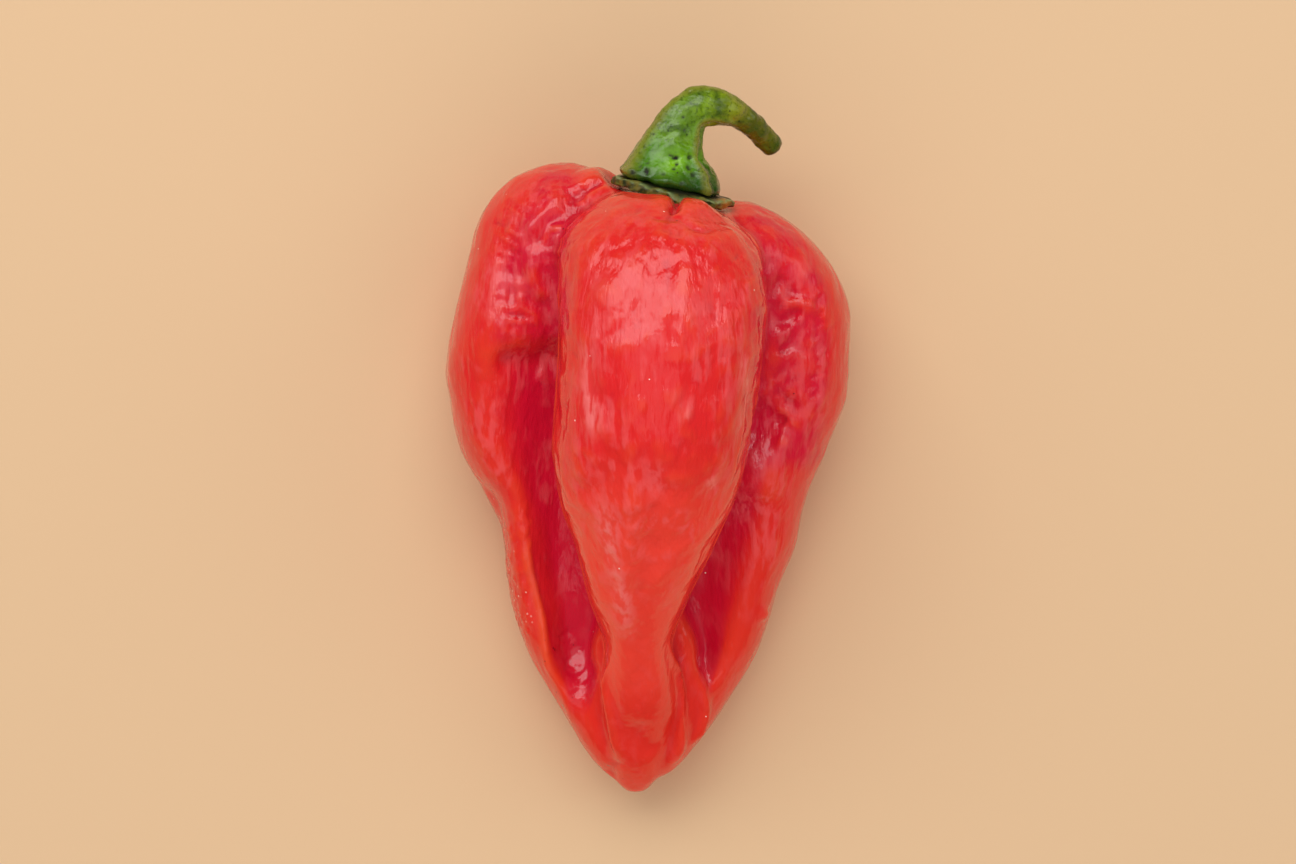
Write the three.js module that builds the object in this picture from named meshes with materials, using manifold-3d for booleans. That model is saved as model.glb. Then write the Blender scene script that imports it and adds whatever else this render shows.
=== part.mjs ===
// A ripe lantern-shaped chilli pepper of the habanero kind, picked and lying on its side.
// Units are millimetres, +Z is up, and the surface it lies on is z = 0.
// X runs across the pod and Y runs from its tip to its stalk.
// The origin is under the middle of the whole pepper's outline.
import * as THREE from 'three';
import { mergeVertices } from 'three/addons/utils/BufferGeometryUtils.js';
import Module from 'manifold-3d';

const wasm = await Module();
wasm.setup();

// ---- driving dimensions ----------------------------------------------------------------

const TOUCH_GAP = 0.3;            // clearance between pieces that meet

const LOBE_SIDES = 22;            // facets round a lobe
const LOBE_RINGS = 32;            // facets along a lobe
const BRIDGE_SIDES = 16;
const BRIDGE_RINGS = 12;
const END_BUNCHING = 0.6;         // share of a lobe's rings that crowd towards its two ends

const CROWN_CENTRE = new THREE.Vector3(1.8, 22.35, 14.4);   // middle of the calyx
const CROWN_TURN = -13;           // degrees that the crown leans across the pod
const CROWN_LIFT = 8;             // degrees that the crown looks up from the surface

const CALYX_RADIUS = 5.1;
const CALYX_HALF_THICKNESS = 0.32;
const CALYX_TEETH = 5;
const CALYX_WAVE = 0.035;         // depth of the teeth, as a share of the radius
const CALYX_SIDES = 40;

const STEM_SIDES = 30;
const STEM_RINGS = 30;
const STEM_RIBS = 5;
const STEM_RIB_DEPTH = 0.06;      // ribs on the bell foot, as a share of the radius
const STEM_RIB_END = 0.3;         // share of the stem's length where the ribs fade out
const STEM_CUT_SLANT = 0.5;       // rise of the cut end across its width

// Half widths of the stem at shares of its length, from the bell foot to the cut end.
const STEM_RADII = [[0, 4.35], [0.03, 4.65], [0.07, 4.3], [0.14, 3.5], [0.22, 2.85], [0.3, 2.35],
  [0.4, 1.98], [0.5, 1.8], [0.6, 1.5], [0.7, 1.25], [0.85, 1.05], [1, 0.98]];

// The stem's centre line after its foot: up from the crown, over the bend and down.
const STEM_LINE = [[1.85, 25.3, 15.0], [2.6, 27.6, 15.5], [3.4, 29.3, 15.9], [4.9, 30.2, 16.0],
  [6.4, 30.1, 15.6], [8.6, 29.1, 14.1], [10.0, 28.1, 12.8], [11.5, 26.7, 11.2]];

// Each lobe is a swollen sack along Y. A ring is
// [y, centre x, centre z, half width, half height], and both ends round off over
// the lengths topRound and tipRound.
const LOBES = {
  front: {
    top: 23.0, topRound: 7.5, tip: -32.3, tipRound: 4.0,
    rings: [[22.0, -0.2, 15.6, 7.4, 8.2], [17.7, 0.75, 18.0, 9.3, 9.6],
      [12.4, 1.45, 20.0, 9.5, 10.0], [7.9, 1.15, 20.8, 9.15, 10.2], [-1.0, 0.2, 20.4, 8.6, 9.6],
      [-5.4, -0.1, 19.2, 7.7, 8.8], [-9.9, -0.35, 17.4, 6.0, 7.6], [-14.5, -0.9, 15.2, 4.4, 6.3],
      [-19.1, -1.0, 12.5, 2.9, 5.2], [-24.0, -0.7, 9.0, 3.4, 5.0], [-28.0, -1.0, 6.4, 3.2, 4.2],
      [-32.3, -1.2, 4.6, 2.6, 3.4]],
  },
  left: {
    top: 25.4, topRound: 7.0, tip: -31.8, tipRound: 4.0,
    rings: [[25.0, -7.9, 9.5, 7.4, 8.0], [20.0, -9.2, 9.3, 6.7, 8.6], [16.5, -10.2, 9.1, 6.5, 9.0],
      [10.0, -12.4, 8.4, 5.8, 8.8], [5.0, -14.5, 7.4, 4.2, 7.7], [0.0, -14.2, 6.9, 3.5, 7.0],
      [-3.3, -13.2, 6.4, 3.0, 6.4], [-5.8, -11.9, 6.0, 2.2, 6.0], [-11.0, -11.5, 5.6, 1.8, 5.6],
      [-15.0, -10.9, 5.2, 1.9, 5.2], [-20.4, -8.9, 4.8, 2.1, 4.8], [-25.5, -5.4, 4.5, 2.6, 4.6],
      [-31.8, -2.2, 4.5, 2.3, 3.4]],
  },
  right: {
    top: 21.9, topRound: 8.0, tip: -32.0, tipRound: 4.0,
    rings: [[21.5, 7.8, 9.8, 6.9, 8.2], [16.3, 10.3, 9.2, 6.7, 9.1], [11.0, 12.0, 8.6, 6.6, 9.0],
      [4.5, 12.1, 8.1, 6.3, 8.3], [-1.0, 11.2, 7.5, 5.2, 7.5], [-4.7, 10.9, 6.9, 4.0, 6.9],
      [-8.9, 10.6, 6.3, 3.3, 6.3], [-13.5, 9.2, 5.8, 3.0, 5.8], [-19.5, 7.4, 5.1, 2.9, 5.2],
      [-25.0, 4.0, 4.5, 3.0, 4.7], [-32.0, -0.6, 4.5, 2.5, 3.4]],
  },
  // The flesh round the seed cavity, which the three lobes grow out of.
  middle: {
    top: 22.6, topRound: 4.0, tip: -31.0, tipRound: 4.0,
    rings: [[22.6, 1.8, 14.0, 6.4, 6.4], [15.0, 1.0, 13.0, 7.2, 7.0], [5.0, 0.2, 11.5, 7.6, 6.6],
      [-6.0, -0.4, 9.6, 6.6, 6.0], [-16.0, -0.7, 7.6, 5.2, 5.0], [-26.0, -1.1, 5.6, 4.2, 4.2],
      [-31.0, -1.2, 4.6, 3.4, 3.4]],
  },
  // The rounded backs of the two side lobes, whose upper faces are the floors of the
  // long furrows beside the front lobe.
  leftBack: {
    top: 17.0, topRound: 8.0, tip: -30.5, tipRound: 4.0,
    rings: [[17.0, -7.6, 8.2, 6.4, 6.2], [8.0, -8.4, 5.2, 7.0, 5.2], [-5.0, -6.7, 4.1, 6.3, 4.1],
      [-15.0, -5.5, 3.8, 5.8, 3.8], [-24.0, -3.9, 3.7, 4.6, 3.7], [-30.5, -2.2, 3.9, 3.0, 3.5]],
  },
  rightBack: {
    top: 16.0, topRound: 8.0, tip: -30.0, tipRound: 4.0,
    rings: [[16.0, 8.6, 8.4, 6.0, 6.0], [6.0, 8.0, 5.2, 6.8, 5.2], [-5.0, 6.9, 4.3, 6.2, 4.3],
      [-15.0, 5.0, 4.0, 5.6, 4.0], [-24.0, 2.6, 3.8, 4.4, 3.8], [-30.0, 0.4, 4.0, 3.0, 3.5]],
  },
};

// Flesh that bridges the lobes across the furrows: [centre, half sizes].
const BRIDGES = {
  left: [[-7.6, 14.4, 11.6], [5.4, 6.8, 5.6]],
  leftOfCrown: [[-4.6, 20.4, 12.2], [4.6, 4.5, 5.2]],
  leftOfTip: [[-4.4, -21.8, 6.4], [2.0, 5.0, 3.0]],
  right: [[9.0, 12.5, 12.4], [5.0, 7.5, 5.4]],
  rightLower: [[9.4, 3.0, 10.8], [5.0, 7.0, 5.4]],
  rightOfTip: [[3.3, -19.0, 8.4], [2.3, 6.5, 3.4]],
};

// ---- helpers ---------------------------------------------------------------------------

// A smooth curve through [station, value] pairs that never overshoots them.
function smoothThrough(pairs) {
  const knots = [...pairs].sort((a, b) => a[0] - b[0]);
  const last = knots.length - 1;
  const step = [];
  const slope = [];
  for (let i = 0; i < last; i += 1) {
    step.push(knots[i + 1][0] - knots[i][0]);
    slope.push((knots[i + 1][1] - knots[i][1]) / step[i]);
  }
  const lean = knots.map(() => 0);
  lean[0] = slope[0];
  lean[last] = slope[last - 1];
  for (let i = 1; i < last; i += 1) {
    if (slope[i - 1] * slope[i] > 0) {
      const before = 2 * step[i] + step[i - 1];
      const after = step[i] + 2 * step[i - 1];
      lean[i] = (before + after) / (before / slope[i - 1] + after / slope[i]);
    }
  }
  return (station) => {
    const at = THREE.MathUtils.clamp(station, knots[0][0], knots[last][0]);
    let i = 0;
    while (i < last - 1 && at > knots[i + 1][0]) i += 1;
    const t = (at - knots[i][0]) / step[i];
    const rest = 1 - t;
    return (1 + 2 * t) * rest * rest * knots[i][1] + t * rest * rest * step[i] * lean[i]
      + t * t * (3 - 2 * t) * knots[i + 1][1] - t * t * rest * step[i] * lean[i + 1];
  };
}

// Moves every vertex of a geometry to the place that `place(vertex)` gives.
function reshape(geometry, place) {
  const position = geometry.attributes.position;
  const vertex = new THREE.Vector3();
  for (let i = 0; i < position.count; i += 1) {
    vertex.fromBufferAttribute(position, i);
    place(vertex);
    position.setXYZ(i, vertex.x, vertex.y, vertex.z);
  }
  return geometry;
}

function weld(geometry) {
  const bare = geometry.clone();
  bare.deleteAttribute('normal');
  bare.deleteAttribute('uv');
  return mergeVertices(bare);
}

function toSolid(geometry) {
  const closed = weld(geometry);
  return new wasm.Manifold(new wasm.Mesh({
    numProp: 3,
    vertProperties: new Float32Array(closed.attributes.position.array),
    triVerts: new Uint32Array(closed.index.array),
  }));
}

function toGeometry(solid) {
  const mesh = solid.getMesh();
  const geometry = new THREE.BufferGeometry();
  geometry.setAttribute('position', new THREE.BufferAttribute(mesh.vertProperties, 3));
  geometry.setIndex(new THREE.BufferAttribute(mesh.triVerts, 1));
  geometry.computeVertexNormals();
  return geometry;
}

// ---- pod -------------------------------------------------------------------------------

// 1 along a lobe's length, falling to 0 on a quarter circle at each end.
function endRoundness(y, lobe) {
  const up = THREE.MathUtils.clamp((y - lobe.top) / lobe.topRound + 1, 0, 1);
  const down = THREE.MathUtils.clamp((lobe.tip - y) / lobe.tipRound + 1, 0, 1);
  return Math.sqrt(1 - up * up) * Math.sqrt(1 - down * down);
}

// A sphere whose rings of vertices are spread along the lobe's stations.
function lobeSolid(lobe) {
  const [centreX, centreZ, halfWidth, halfHeight] = [1, 2, 3, 4].map(
    (column) => smoothThrough(lobe.rings.map((ring) => [ring[0], ring[column]])),
  );
  const middle = (lobe.top + lobe.tip) / 2;
  const half = (lobe.top - lobe.tip) / 2;
  const sphere = new THREE.SphereGeometry(1, LOBE_SIDES, LOBE_RINGS);
  return toSolid(reshape(sphere, (vertex) => {
    const height = THREE.MathUtils.clamp(vertex.y, -1, 1);
    const even = Math.asin(height) / (Math.PI / 2);
    const y = middle + half * (END_BUNCHING * height + (1 - END_BUNCHING) * even);
    const ring = Math.hypot(vertex.x, vertex.z) || 1;
    const swell = endRoundness(y, lobe) / ring;
    vertex.set(
      centreX(y) + vertex.x * halfWidth(y) * swell,
      y,
      centreZ(y) + vertex.z * halfHeight(y) * swell,
    );
  }));
}

function bridgeSolid([centre, halfSizes]) {
  const ball = new THREE.SphereGeometry(1, BRIDGE_SIDES, BRIDGE_RINGS);
  ball.scale(...halfSizes);
  ball.translate(...centre);
  return toSolid(ball);
}

// The crown's own frame: its +Y leaves the pod along the stalk.
function crownMatrix() {
  const turn = new THREE.Euler(
    THREE.MathUtils.degToRad(CROWN_LIFT), 0, THREE.MathUtils.degToRad(CROWN_TURN), 'ZXY',
  );
  return new THREE.Matrix4().makeRotationFromEuler(turn).setPosition(CROWN_CENTRE);
}

// The room that the calyx and the stem's foot need on top of the pod.
function crownSeat() {
  const reach = 8;
  const radius = CALYX_RADIUS * (1 + CALYX_WAVE) + TOUCH_GAP;
  const seat = new THREE.CylinderGeometry(radius, radius, reach, CALYX_SIDES);
  seat.translate(0, reach / 2 - CALYX_HALF_THICKNESS - TOUCH_GAP, 0);
  seat.applyMatrix4(crownMatrix());
  return toSolid(seat);
}

// The surface that the pod lies on, as a block that presses small flats on its underside.
function surfaceBlock() {
  const side = 100;
  const block = new THREE.BoxGeometry(side, side, side);
  block.translate(0, 0, -side / 2);
  return toSolid(block);
}

function makePod() {
  const flesh = [
    ...Object.values(LOBES).map(lobeSolid),
    ...Object.values(BRIDGES).map(bridgeSolid),
  ];
  const whole = flesh.reduce((sum, piece) => sum.add(piece));
  const pod = new THREE.Mesh(
    toGeometry(whole.subtract(crownSeat()).subtract(surfaceBlock())),
    new THREE.MeshStandardMaterial({ color: 0xd02a22, roughness: 0.32, metalness: 0 }),
  );
  pod.name = 'pod';
  return pod;
}

// ---- calyx -----------------------------------------------------------------------------

// A thin green collar with a wavy rim, between the pod and the foot of the stem.
function makeCalyx() {
  const thin = CALYX_HALF_THICKNESS;
  const profile = [
    [0, -thin], [CALYX_RADIUS * 0.86, -thin], [CALYX_RADIUS * 0.97, -thin * 0.5],
    [CALYX_RADIUS, thin * 0.3], [CALYX_RADIUS * 0.96, thin], [0, thin],
  ].map(([radius, height]) => new THREE.Vector2(radius, height));
  const disc = reshape(new THREE.LatheGeometry(profile, CALYX_SIDES), (vertex) => {
    const round = Math.atan2(vertex.x, vertex.z);
    const reach = Math.hypot(vertex.x, vertex.z) / CALYX_RADIUS;
    const wave = 1 + CALYX_WAVE * reach * Math.cos(CALYX_TEETH * round);
    vertex.set(vertex.x * wave, vertex.y, vertex.z * wave);
  });
  const calyx = new THREE.Mesh(
    weld(disc),
    new THREE.MeshStandardMaterial({ color: 0x6f8a2e, roughness: 0.6, metalness: 0 }),
  );
  calyx.name = 'calyx';
  crownMatrix().decompose(calyx.position, calyx.quaternion, calyx.scale);
  return calyx;
}

// ---- stem ------------------------------------------------------------------------------

function stemCurve() {
  const foot = new THREE.Vector3(0, CALYX_HALF_THICKNESS + TOUCH_GAP, 0);
  const start = foot.applyMatrix4(crownMatrix());
  const line = STEM_LINE.map((point) => new THREE.Vector3(...point));
  return new THREE.CatmullRomCurve3([start, ...line], false, 'centripetal');
}

// A cylinder bent along the stem's centre line, flared into a ribbed bell at its foot.
function makeStem() {
  const curve = stemCurve();
  const radiusAt = smoothThrough(STEM_RADII);
  const crownAxis = new THREE.Vector3(0, 1, 0).transformDirection(crownMatrix());
  const up = new THREE.Vector3(0, 0, 1);
  const cylinder = new THREE.CylinderGeometry(1, 1, 1, STEM_SIDES, STEM_RINGS);
  const bent = reshape(cylinder, (vertex) => {
    const share = THREE.MathUtils.clamp(vertex.y + 0.5, 0, 1);
    const along = curve.getTangentAt(share);
    along.lerp(crownAxis, Math.max(0, 1 - share / STEM_RIB_END) ** 2).normalize();
    const across = new THREE.Vector3().crossVectors(along, up).normalize();
    const over = new THREE.Vector3().crossVectors(across, along);
    const round = Math.atan2(vertex.x, vertex.z);
    const ribs = Math.max(0, 1 - share / STEM_RIB_END);
    const radius = radiusAt(share) * (1 + STEM_RIB_DEPTH * ribs * Math.cos(STEM_RIBS * round));
    const slant = STEM_CUT_SLANT * radius * vertex.x * share ** 8;
    const place = curve.getPointAt(share)
      .addScaledVector(across, vertex.x * radius)
      .addScaledVector(over, vertex.z * radius)
      .addScaledVector(along, slant);
    vertex.copy(place);
  });
  const stem = new THREE.Mesh(
    weld(bent),
    new THREE.MeshStandardMaterial({ color: 0x3f7d22, roughness: 0.45, metalness: 0 }),
  );
  stem.name = 'stem';
  return stem;
}

const pepper = new THREE.Group();
pepper.add(makePod(), makeCalyx(), makeStem());

export default pepper;
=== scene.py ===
"""A ripe lantern-shaped chilli pepper, picked and lying on its side.

Lengths in this file are millimetres unless a name says otherwise: each piece is modelled in
millimetres in the frame's own axes and brought to metres when it is finished.
"""
import math

import bmesh
import bpy
import numpy as np
from mathutils import Euler, Matrix, Vector, noise
from mathutils.bvhtree import BVHTree
from mathutils.kdtree import KDTree


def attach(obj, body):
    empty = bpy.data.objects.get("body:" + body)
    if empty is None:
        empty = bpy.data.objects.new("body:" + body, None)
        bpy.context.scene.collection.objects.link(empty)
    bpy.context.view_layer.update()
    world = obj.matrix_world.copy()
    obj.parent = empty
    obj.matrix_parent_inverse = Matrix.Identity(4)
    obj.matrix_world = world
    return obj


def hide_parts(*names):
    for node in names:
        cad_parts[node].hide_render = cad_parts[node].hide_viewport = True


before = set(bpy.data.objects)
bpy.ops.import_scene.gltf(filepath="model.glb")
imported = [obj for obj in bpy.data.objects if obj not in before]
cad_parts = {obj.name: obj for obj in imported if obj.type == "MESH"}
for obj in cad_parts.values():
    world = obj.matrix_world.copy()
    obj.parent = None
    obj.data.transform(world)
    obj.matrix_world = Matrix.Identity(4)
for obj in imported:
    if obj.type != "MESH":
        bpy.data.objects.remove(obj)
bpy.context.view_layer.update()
MM = 0.001

# ---- the pod's growth: lobes and the flesh between them ----------------------------------

# Each lobe is a swollen sack along Y: name: (top, length over which the top rounds off, tip,
# length over which the tip rounds off, squareness, rings). Squareness 2 is an ellipse. A ring is
# (y, centre x, centre z, half width, half height).
LOBES = {
    "front_lobe": (23.0, 7.5, -33.1, 4.4, 2.45, [
        (22.0, -0.2, 15.6, 7.4, 8.2), (17.7, 0.75, 18.0, 9.3, 9.4), (12.4, 1.45, 20.0, 9.5, 9.8),
        (7.9, 1.15, 20.6, 9.15, 10.0), (-1.0, 0.2, 20.2, 8.6, 9.4), (-5.4, -0.1, 19.0, 7.7, 8.6),
        (-9.9, -0.35, 17.3, 6.0, 7.5), (-14.5, -0.9, 15.2, 4.4, 6.3), (-19.1, -1.0, 12.5, 2.9, 5.2),
        (-24.0, -0.7, 9.0, 3.4, 5.0), (-28.0, -1.0, 6.4, 3.2, 4.2), (-32.3, -1.2, 4.6, 2.6, 3.4),
    ]),
    "left_lobe": (25.4, 7.0, -32.2, 4.0, 2.0, [
        (25.0, -7.9, 9.5, 7.4, 8.0), (20.0, -9.2, 9.3, 6.7, 8.6), (16.5, -10.2, 9.1, 6.5, 9.0),
        (10.0, -12.4, 8.4, 5.8, 8.8), (5.0, -14.5, 7.4, 4.2, 7.7), (0.0, -14.2, 6.9, 3.5, 7.0),
        (-3.3, -13.2, 6.4, 3.0, 6.4), (-5.8, -11.9, 6.0, 2.2, 6.0), (-11.0, -11.5, 5.6, 1.8, 5.6),
        (-15.0, -10.9, 5.2, 1.9, 5.2), (-20.4, -8.9, 4.8, 2.1, 4.8), (-25.5, -5.4, 4.5, 2.6, 4.6),
        (-31.8, -2.2, 4.5, 2.3, 3.4),
    ]),
    "right_lobe": (21.9, 8.0, -32.0, 4.0, 2.0, [
        (21.5, 7.8, 9.8, 6.9, 8.2), (16.3, 10.3, 9.2, 6.7, 9.1), (11.0, 12.0, 8.6, 6.6, 9.0),
        (4.5, 12.1, 8.1, 6.3, 8.3), (-1.0, 11.2, 7.5, 5.2, 7.5), (-4.7, 10.9, 6.9, 4.0, 6.9),
        (-8.9, 10.6, 6.3, 3.3, 6.3), (-13.5, 9.2, 5.8, 3.0, 5.8), (-19.5, 7.4, 5.1, 2.9, 5.2),
        (-25.0, 4.0, 4.5, 3.0, 4.7), (-32.0, -0.6, 4.5, 2.5, 3.4),
    ]),
    "middle_flesh": (22.6, 4.0, -31.0, 4.0, 2.0, [
        (22.6, 1.8, 14.0, 6.4, 6.4), (15.0, 1.0, 13.0, 7.2, 7.0), (5.0, 0.2, 11.5, 7.0, 6.6),
        (-6.0, -0.4, 9.6, 5.2, 6.0), (-16.0, -0.7, 7.6, 3.2, 5.0), (-26.0, -1.1, 5.6, 3.2, 4.2),
        (-31.0, -1.2, 4.6, 2.8, 3.4),
    ]),
    "left_back": (17.0, 8.0, -30.5, 4.0, 2.0, [
        (17.0, -7.6, 8.2, 6.4, 6.2), (8.0, -8.4, 5.2, 7.0, 5.2), (-5.0, -6.7, 4.1, 6.3, 4.1),
        (-15.0, -5.5, 3.8, 5.8, 3.8), (-24.0, -3.9, 3.7, 4.6, 3.7), (-30.5, -2.2, 3.9, 3.0, 3.5),
    ]),
    "right_back": (16.0, 8.0, -30.0, 4.0, 2.0, [
        (16.0, 8.6, 8.4, 6.0, 6.0), (6.0, 8.0, 5.2, 6.8, 5.2), (-5.0, 6.9, 4.3, 6.2, 4.3),
        (-15.0, 5.0, 4.0, 5.6, 4.0), (-24.0, 2.6, 3.8, 4.4, 3.8), (-30.0, 0.4, 4.0, 3.0, 3.5),
    ]),
    "left_furrow_floor": (16.0, 8.0, -27.0, 5.0, 2.0, [
        (12.0, -11.0, 6.4, 4.6, 6.2), (2.0, -12.0, 6.0, 5.2, 7.0), (-4.0, -10.6, 5.5, 5.0, 5.8),
        (-10.0, -8.2, 4.9, 4.6, 4.7), (-16.0, -6.9, 4.6, 4.0, 4.5), (-22.0, -5.4, 4.4, 3.2, 4.3),
        (-27.0, -4.0, 4.4, 2.2, 4.0),
    ]),
    "right_furrow_floor": (12.0, 8.0, -26.0, 5.0, 2.0, [
        (8.0, 10.2, 8.2, 4.6, 6.4), (0.0, 10.0, 7.4, 4.7, 6.2), (-6.0, 9.3, 6.4, 4.7, 5.9),
        (-12.0, 8.0, 5.6, 4.5, 5.2), (-18.0, 6.4, 5.2, 3.8, 4.8), (-25.0, 4.2, 4.9, 2.6, 4.6),
    ]),
    "tip_shoulder": (-9.5, 5.0, -31.5, 4.0, 2.2, [
        (-12.0, 1.4, 9.0, 2.0, 2.6), (-16.0, 2.2, 9.0, 2.3, 3.1), (-20.0, 3.0, 8.4, 2.45, 3.2),
        (-24.0, 3.0, 7.2, 2.4, 3.0), (-28.0, 2.2, 6.0, 2.3, 2.9), (-31.5, 1.0, 5.2, 2.0, 2.6),
    ]),
    "left_tip_flank": (-11.0, 4.0, -31.5, 4.0, 2.1, [
        (-13.0, -2.4, 9.2, 1.6, 2.6), (-17.0, -3.3, 8.6, 1.8, 3.0), (-21.0, -4.1, 7.6, 2.0, 3.2),
        (-25.0, -4.4, 6.2, 2.1, 3.1), (-31.5, -2.6, 4.8, 1.9, 2.8),
    ]),
}

# Flesh that bridges the lobes across the furrows: (centre, half sizes).
BRIDGES = {
    "left_bridge": ((-7.6, 14.4, 11.6), (5.4, 6.8, 5.6)),
    "left_of_crown": ((-4.6, 20.4, 12.2), (4.6, 4.5, 5.2)),
    "right_bridge": ((9.0, 12.5, 12.4), (5.0, 7.5, 5.4)),
    "right_bridge_lower": ((9.4, 3.0, 10.8), (5.0, 7.0, 5.4)),
}

LOBE_SEGMENTS, LOBE_RINGS = 96, 120
BRIDGE_SEGMENTS, BRIDGE_RINGS = 64, 48
END_BUNCHING = 0.6            # how much a lobe's rings crowd towards its two ends
SKIN_VOXEL = 0.293            # grain of the pod's skin mesh
WEB_SMOOTHING = 10            # passes that melt the lobes into each other
FURROW_SMOOTHING = 26         # further passes over the furrow floors
FURROW_FADE = 4               # length over which a furrow's shape runs out at each end
FURROW_TINT_FADE = 5          # length over which its colour does
HALF_SMOOTH = 0.5             # how far one pass moves a point towards its neighbours
LEAST_WEIGHT = 0.02           # below it a point is left alone
NO_LENGTH = 1e-6              # anything shorter counts as nothing

# The furrows beside the front lobe, from top to tip: (y, crest x, crest z, foot x, foot z,
# share of the width over which the floor falls from the crest).
FURROWS = {
    "left_furrow": [
        (10.5, -14.4, 16.4, -8.2, 15.6, 1.0), (7.0, -14.6, 15.6, -8.3, 13.4, 1.0),
        (2.0, -14.5, 14.4, -8.4, 12.0, 1.0), (-2.0, -13.9, 13.4, -8.3, 10.9, 1.0),
        (-6.0, -12.3, 12.1, -7.6, 10.0, 0.9), (-10.0, -11.4, 11.3, -6.4, 9.3, 0.6),
        (-15.0, -10.3, 10.4, -5.2, 8.4, 0.45), (-19.5, -9.5, 9.8, -5.8, 7.3, 0.5),
        (-24.0, -8.2, 9.1, -6.3, 8.8, 0.7), (-27.0, -7.0, 8.8, -6.4, 8.8, 1.0),
    ],
    "right_furrow": [
        (6.0, 13.0, 17.0, 9.8, 16.4, 1.0), (1.5, 12.6, 15.6, 9.2, 14.4, 1.0),
        (-3.2, 12.0, 14.5, 8.1, 14.3, 1.0), (-6.8, 11.4, 13.3, 7.0, 12.2, 1.0),
        (-12.0, 10.0, 12.0, 4.9, 10.0, 1.0), (-16.0, 8.7, 11.1, 4.6, 9.0, 1.0),
        (-19.5, 7.5, 10.4, 5.2, 8.3, 1.0), (-23.0, 6.1, 9.7, 5.4, 9.3, 1.0),
        (-25.0, 5.4, 9.3, 5.0, 9.3, 1.0),
    ],
}

# ---- helpers -----------------------------------------------------------------------------


def smooth_through(pairs, at):
    """A smooth curve through (station, value) pairs that never overshoots them."""
    x, v = np.array(sorted(pairs), float).T
    step = np.diff(x)
    slope = np.diff(v) / step
    lean = np.zeros(len(x))
    lean[0], lean[-1] = slope[0], slope[-1]
    for i in range(1, len(x) - 1):
        if slope[i - 1] * slope[i] > 0:
            before = 2 * step[i] + step[i - 1]
            after = step[i] + 2 * step[i - 1]
            lean[i] = (before + after) / (before / slope[i - 1] + after / slope[i])
    at = np.clip(at, x[0], x[-1])
    i = np.clip(np.searchsorted(x, at) - 1, 0, len(x) - 2)
    t = (at - x[i]) / step[i]
    rest = 1 - t
    return (
        (1 + 2 * t) * rest**2 * v[i]
        + t * rest**2 * step[i] * lean[i]
        + t**2 * (3 - 2 * t) * v[i + 1]
        - t**2 * rest * step[i] * lean[i + 1]
    )


def ease(value, low, high):
    """0 below low, 1 above high, and a smooth step between them."""
    t = np.clip((value - low) / (high - low), 0, 1)
    return t * t * (3 - 2 * t)


def read_points(piece):
    co = np.empty(len(piece.data.vertices) * 3)
    piece.data.vertices.foreach_get("co", co)
    return co.reshape(-1, 3)


def write_points(piece, points):
    piece.data.vertices.foreach_set("co", np.ascontiguousarray(points, np.float32).ravel())
    piece.data.update()


def read_normals(piece):
    normals = np.empty(len(piece.data.vertices) * 3)
    piece.data.vertex_normals.foreach_get("vector", normals)
    return normals.reshape(-1, 3)


def surface_tree(piece, points):
    faces = [tuple(face.vertices) for face in piece.data.polygons]
    return BVHTree.FromPolygons(points.tolist(), faces)


def column(rows, at, *places):
    """One smooth curve for each of the given places in the rows, by the first number of a row."""
    return [smooth_through([(row[0], row[place]) for row in rows], at) for place in places]


def bell(distance, width):
    """1 in the middle, fading to nothing a few widths away."""
    return np.exp(-((distance / width) ** 2))


def deselect_all():
    bpy.ops.object.select_all(action="DESELECT")


def make_active(piece):
    deselect_all()
    piece.select_set(True)
    bpy.context.view_layer.objects.active = piece


def new_piece(name, add, **settings):
    deselect_all()
    add(**settings)
    piece = bpy.context.object
    piece.name = name
    return piece


def apply_modifier(piece, kind, **settings):
    make_active(piece)
    modifier = piece.modifiers.new(kind.lower(), kind)
    for name, value in settings.items():
        setattr(modifier, name, value)
    bpy.ops.object.modifier_apply(modifier=modifier.name)


def melt(piece, name, weights, passes):
    """Evens out the part of the skin that the weights pick, the more the higher they are."""
    group = piece.vertex_groups.new(name=name)
    for index in np.flatnonzero(weights > LEAST_WEIGHT):
        group.add([int(index)], float(weights[index]), "REPLACE")
    apply_modifier(
        piece, "SMOOTH", factor=HALF_SMOOTH, iterations=passes, vertex_group=group.name
    )


def turn_faces_out(piece):
    make_active(piece)
    bpy.ops.object.mode_set(mode="EDIT")
    bpy.ops.mesh.select_all(action="SELECT")
    bpy.ops.mesh.normals_make_consistent(inside=False)
    bpy.ops.object.mode_set(mode="OBJECT")


def write_attribute(piece, name, values):
    attribute = piece.data.attributes.new(name, "FLOAT", "POINT")
    attribute.data.foreach_set("value", np.ascontiguousarray(values, np.float32))


ROUGHENING, OCTAVE_STEP = 1.0, 2.0


def ripples(points, size, seed, stretch=(1, 1, 1), octaves=3):
    """Smooth noise of about -1 to 1 at each point, with waves `size` long."""
    scaled = points / size * np.array(stretch) + seed
    return np.array([noise.fractal(Vector(p), ROUGHENING, OCTAVE_STEP, octaves) for p in scaled])


# ---- pod ---------------------------------------------------------------------------------


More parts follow.
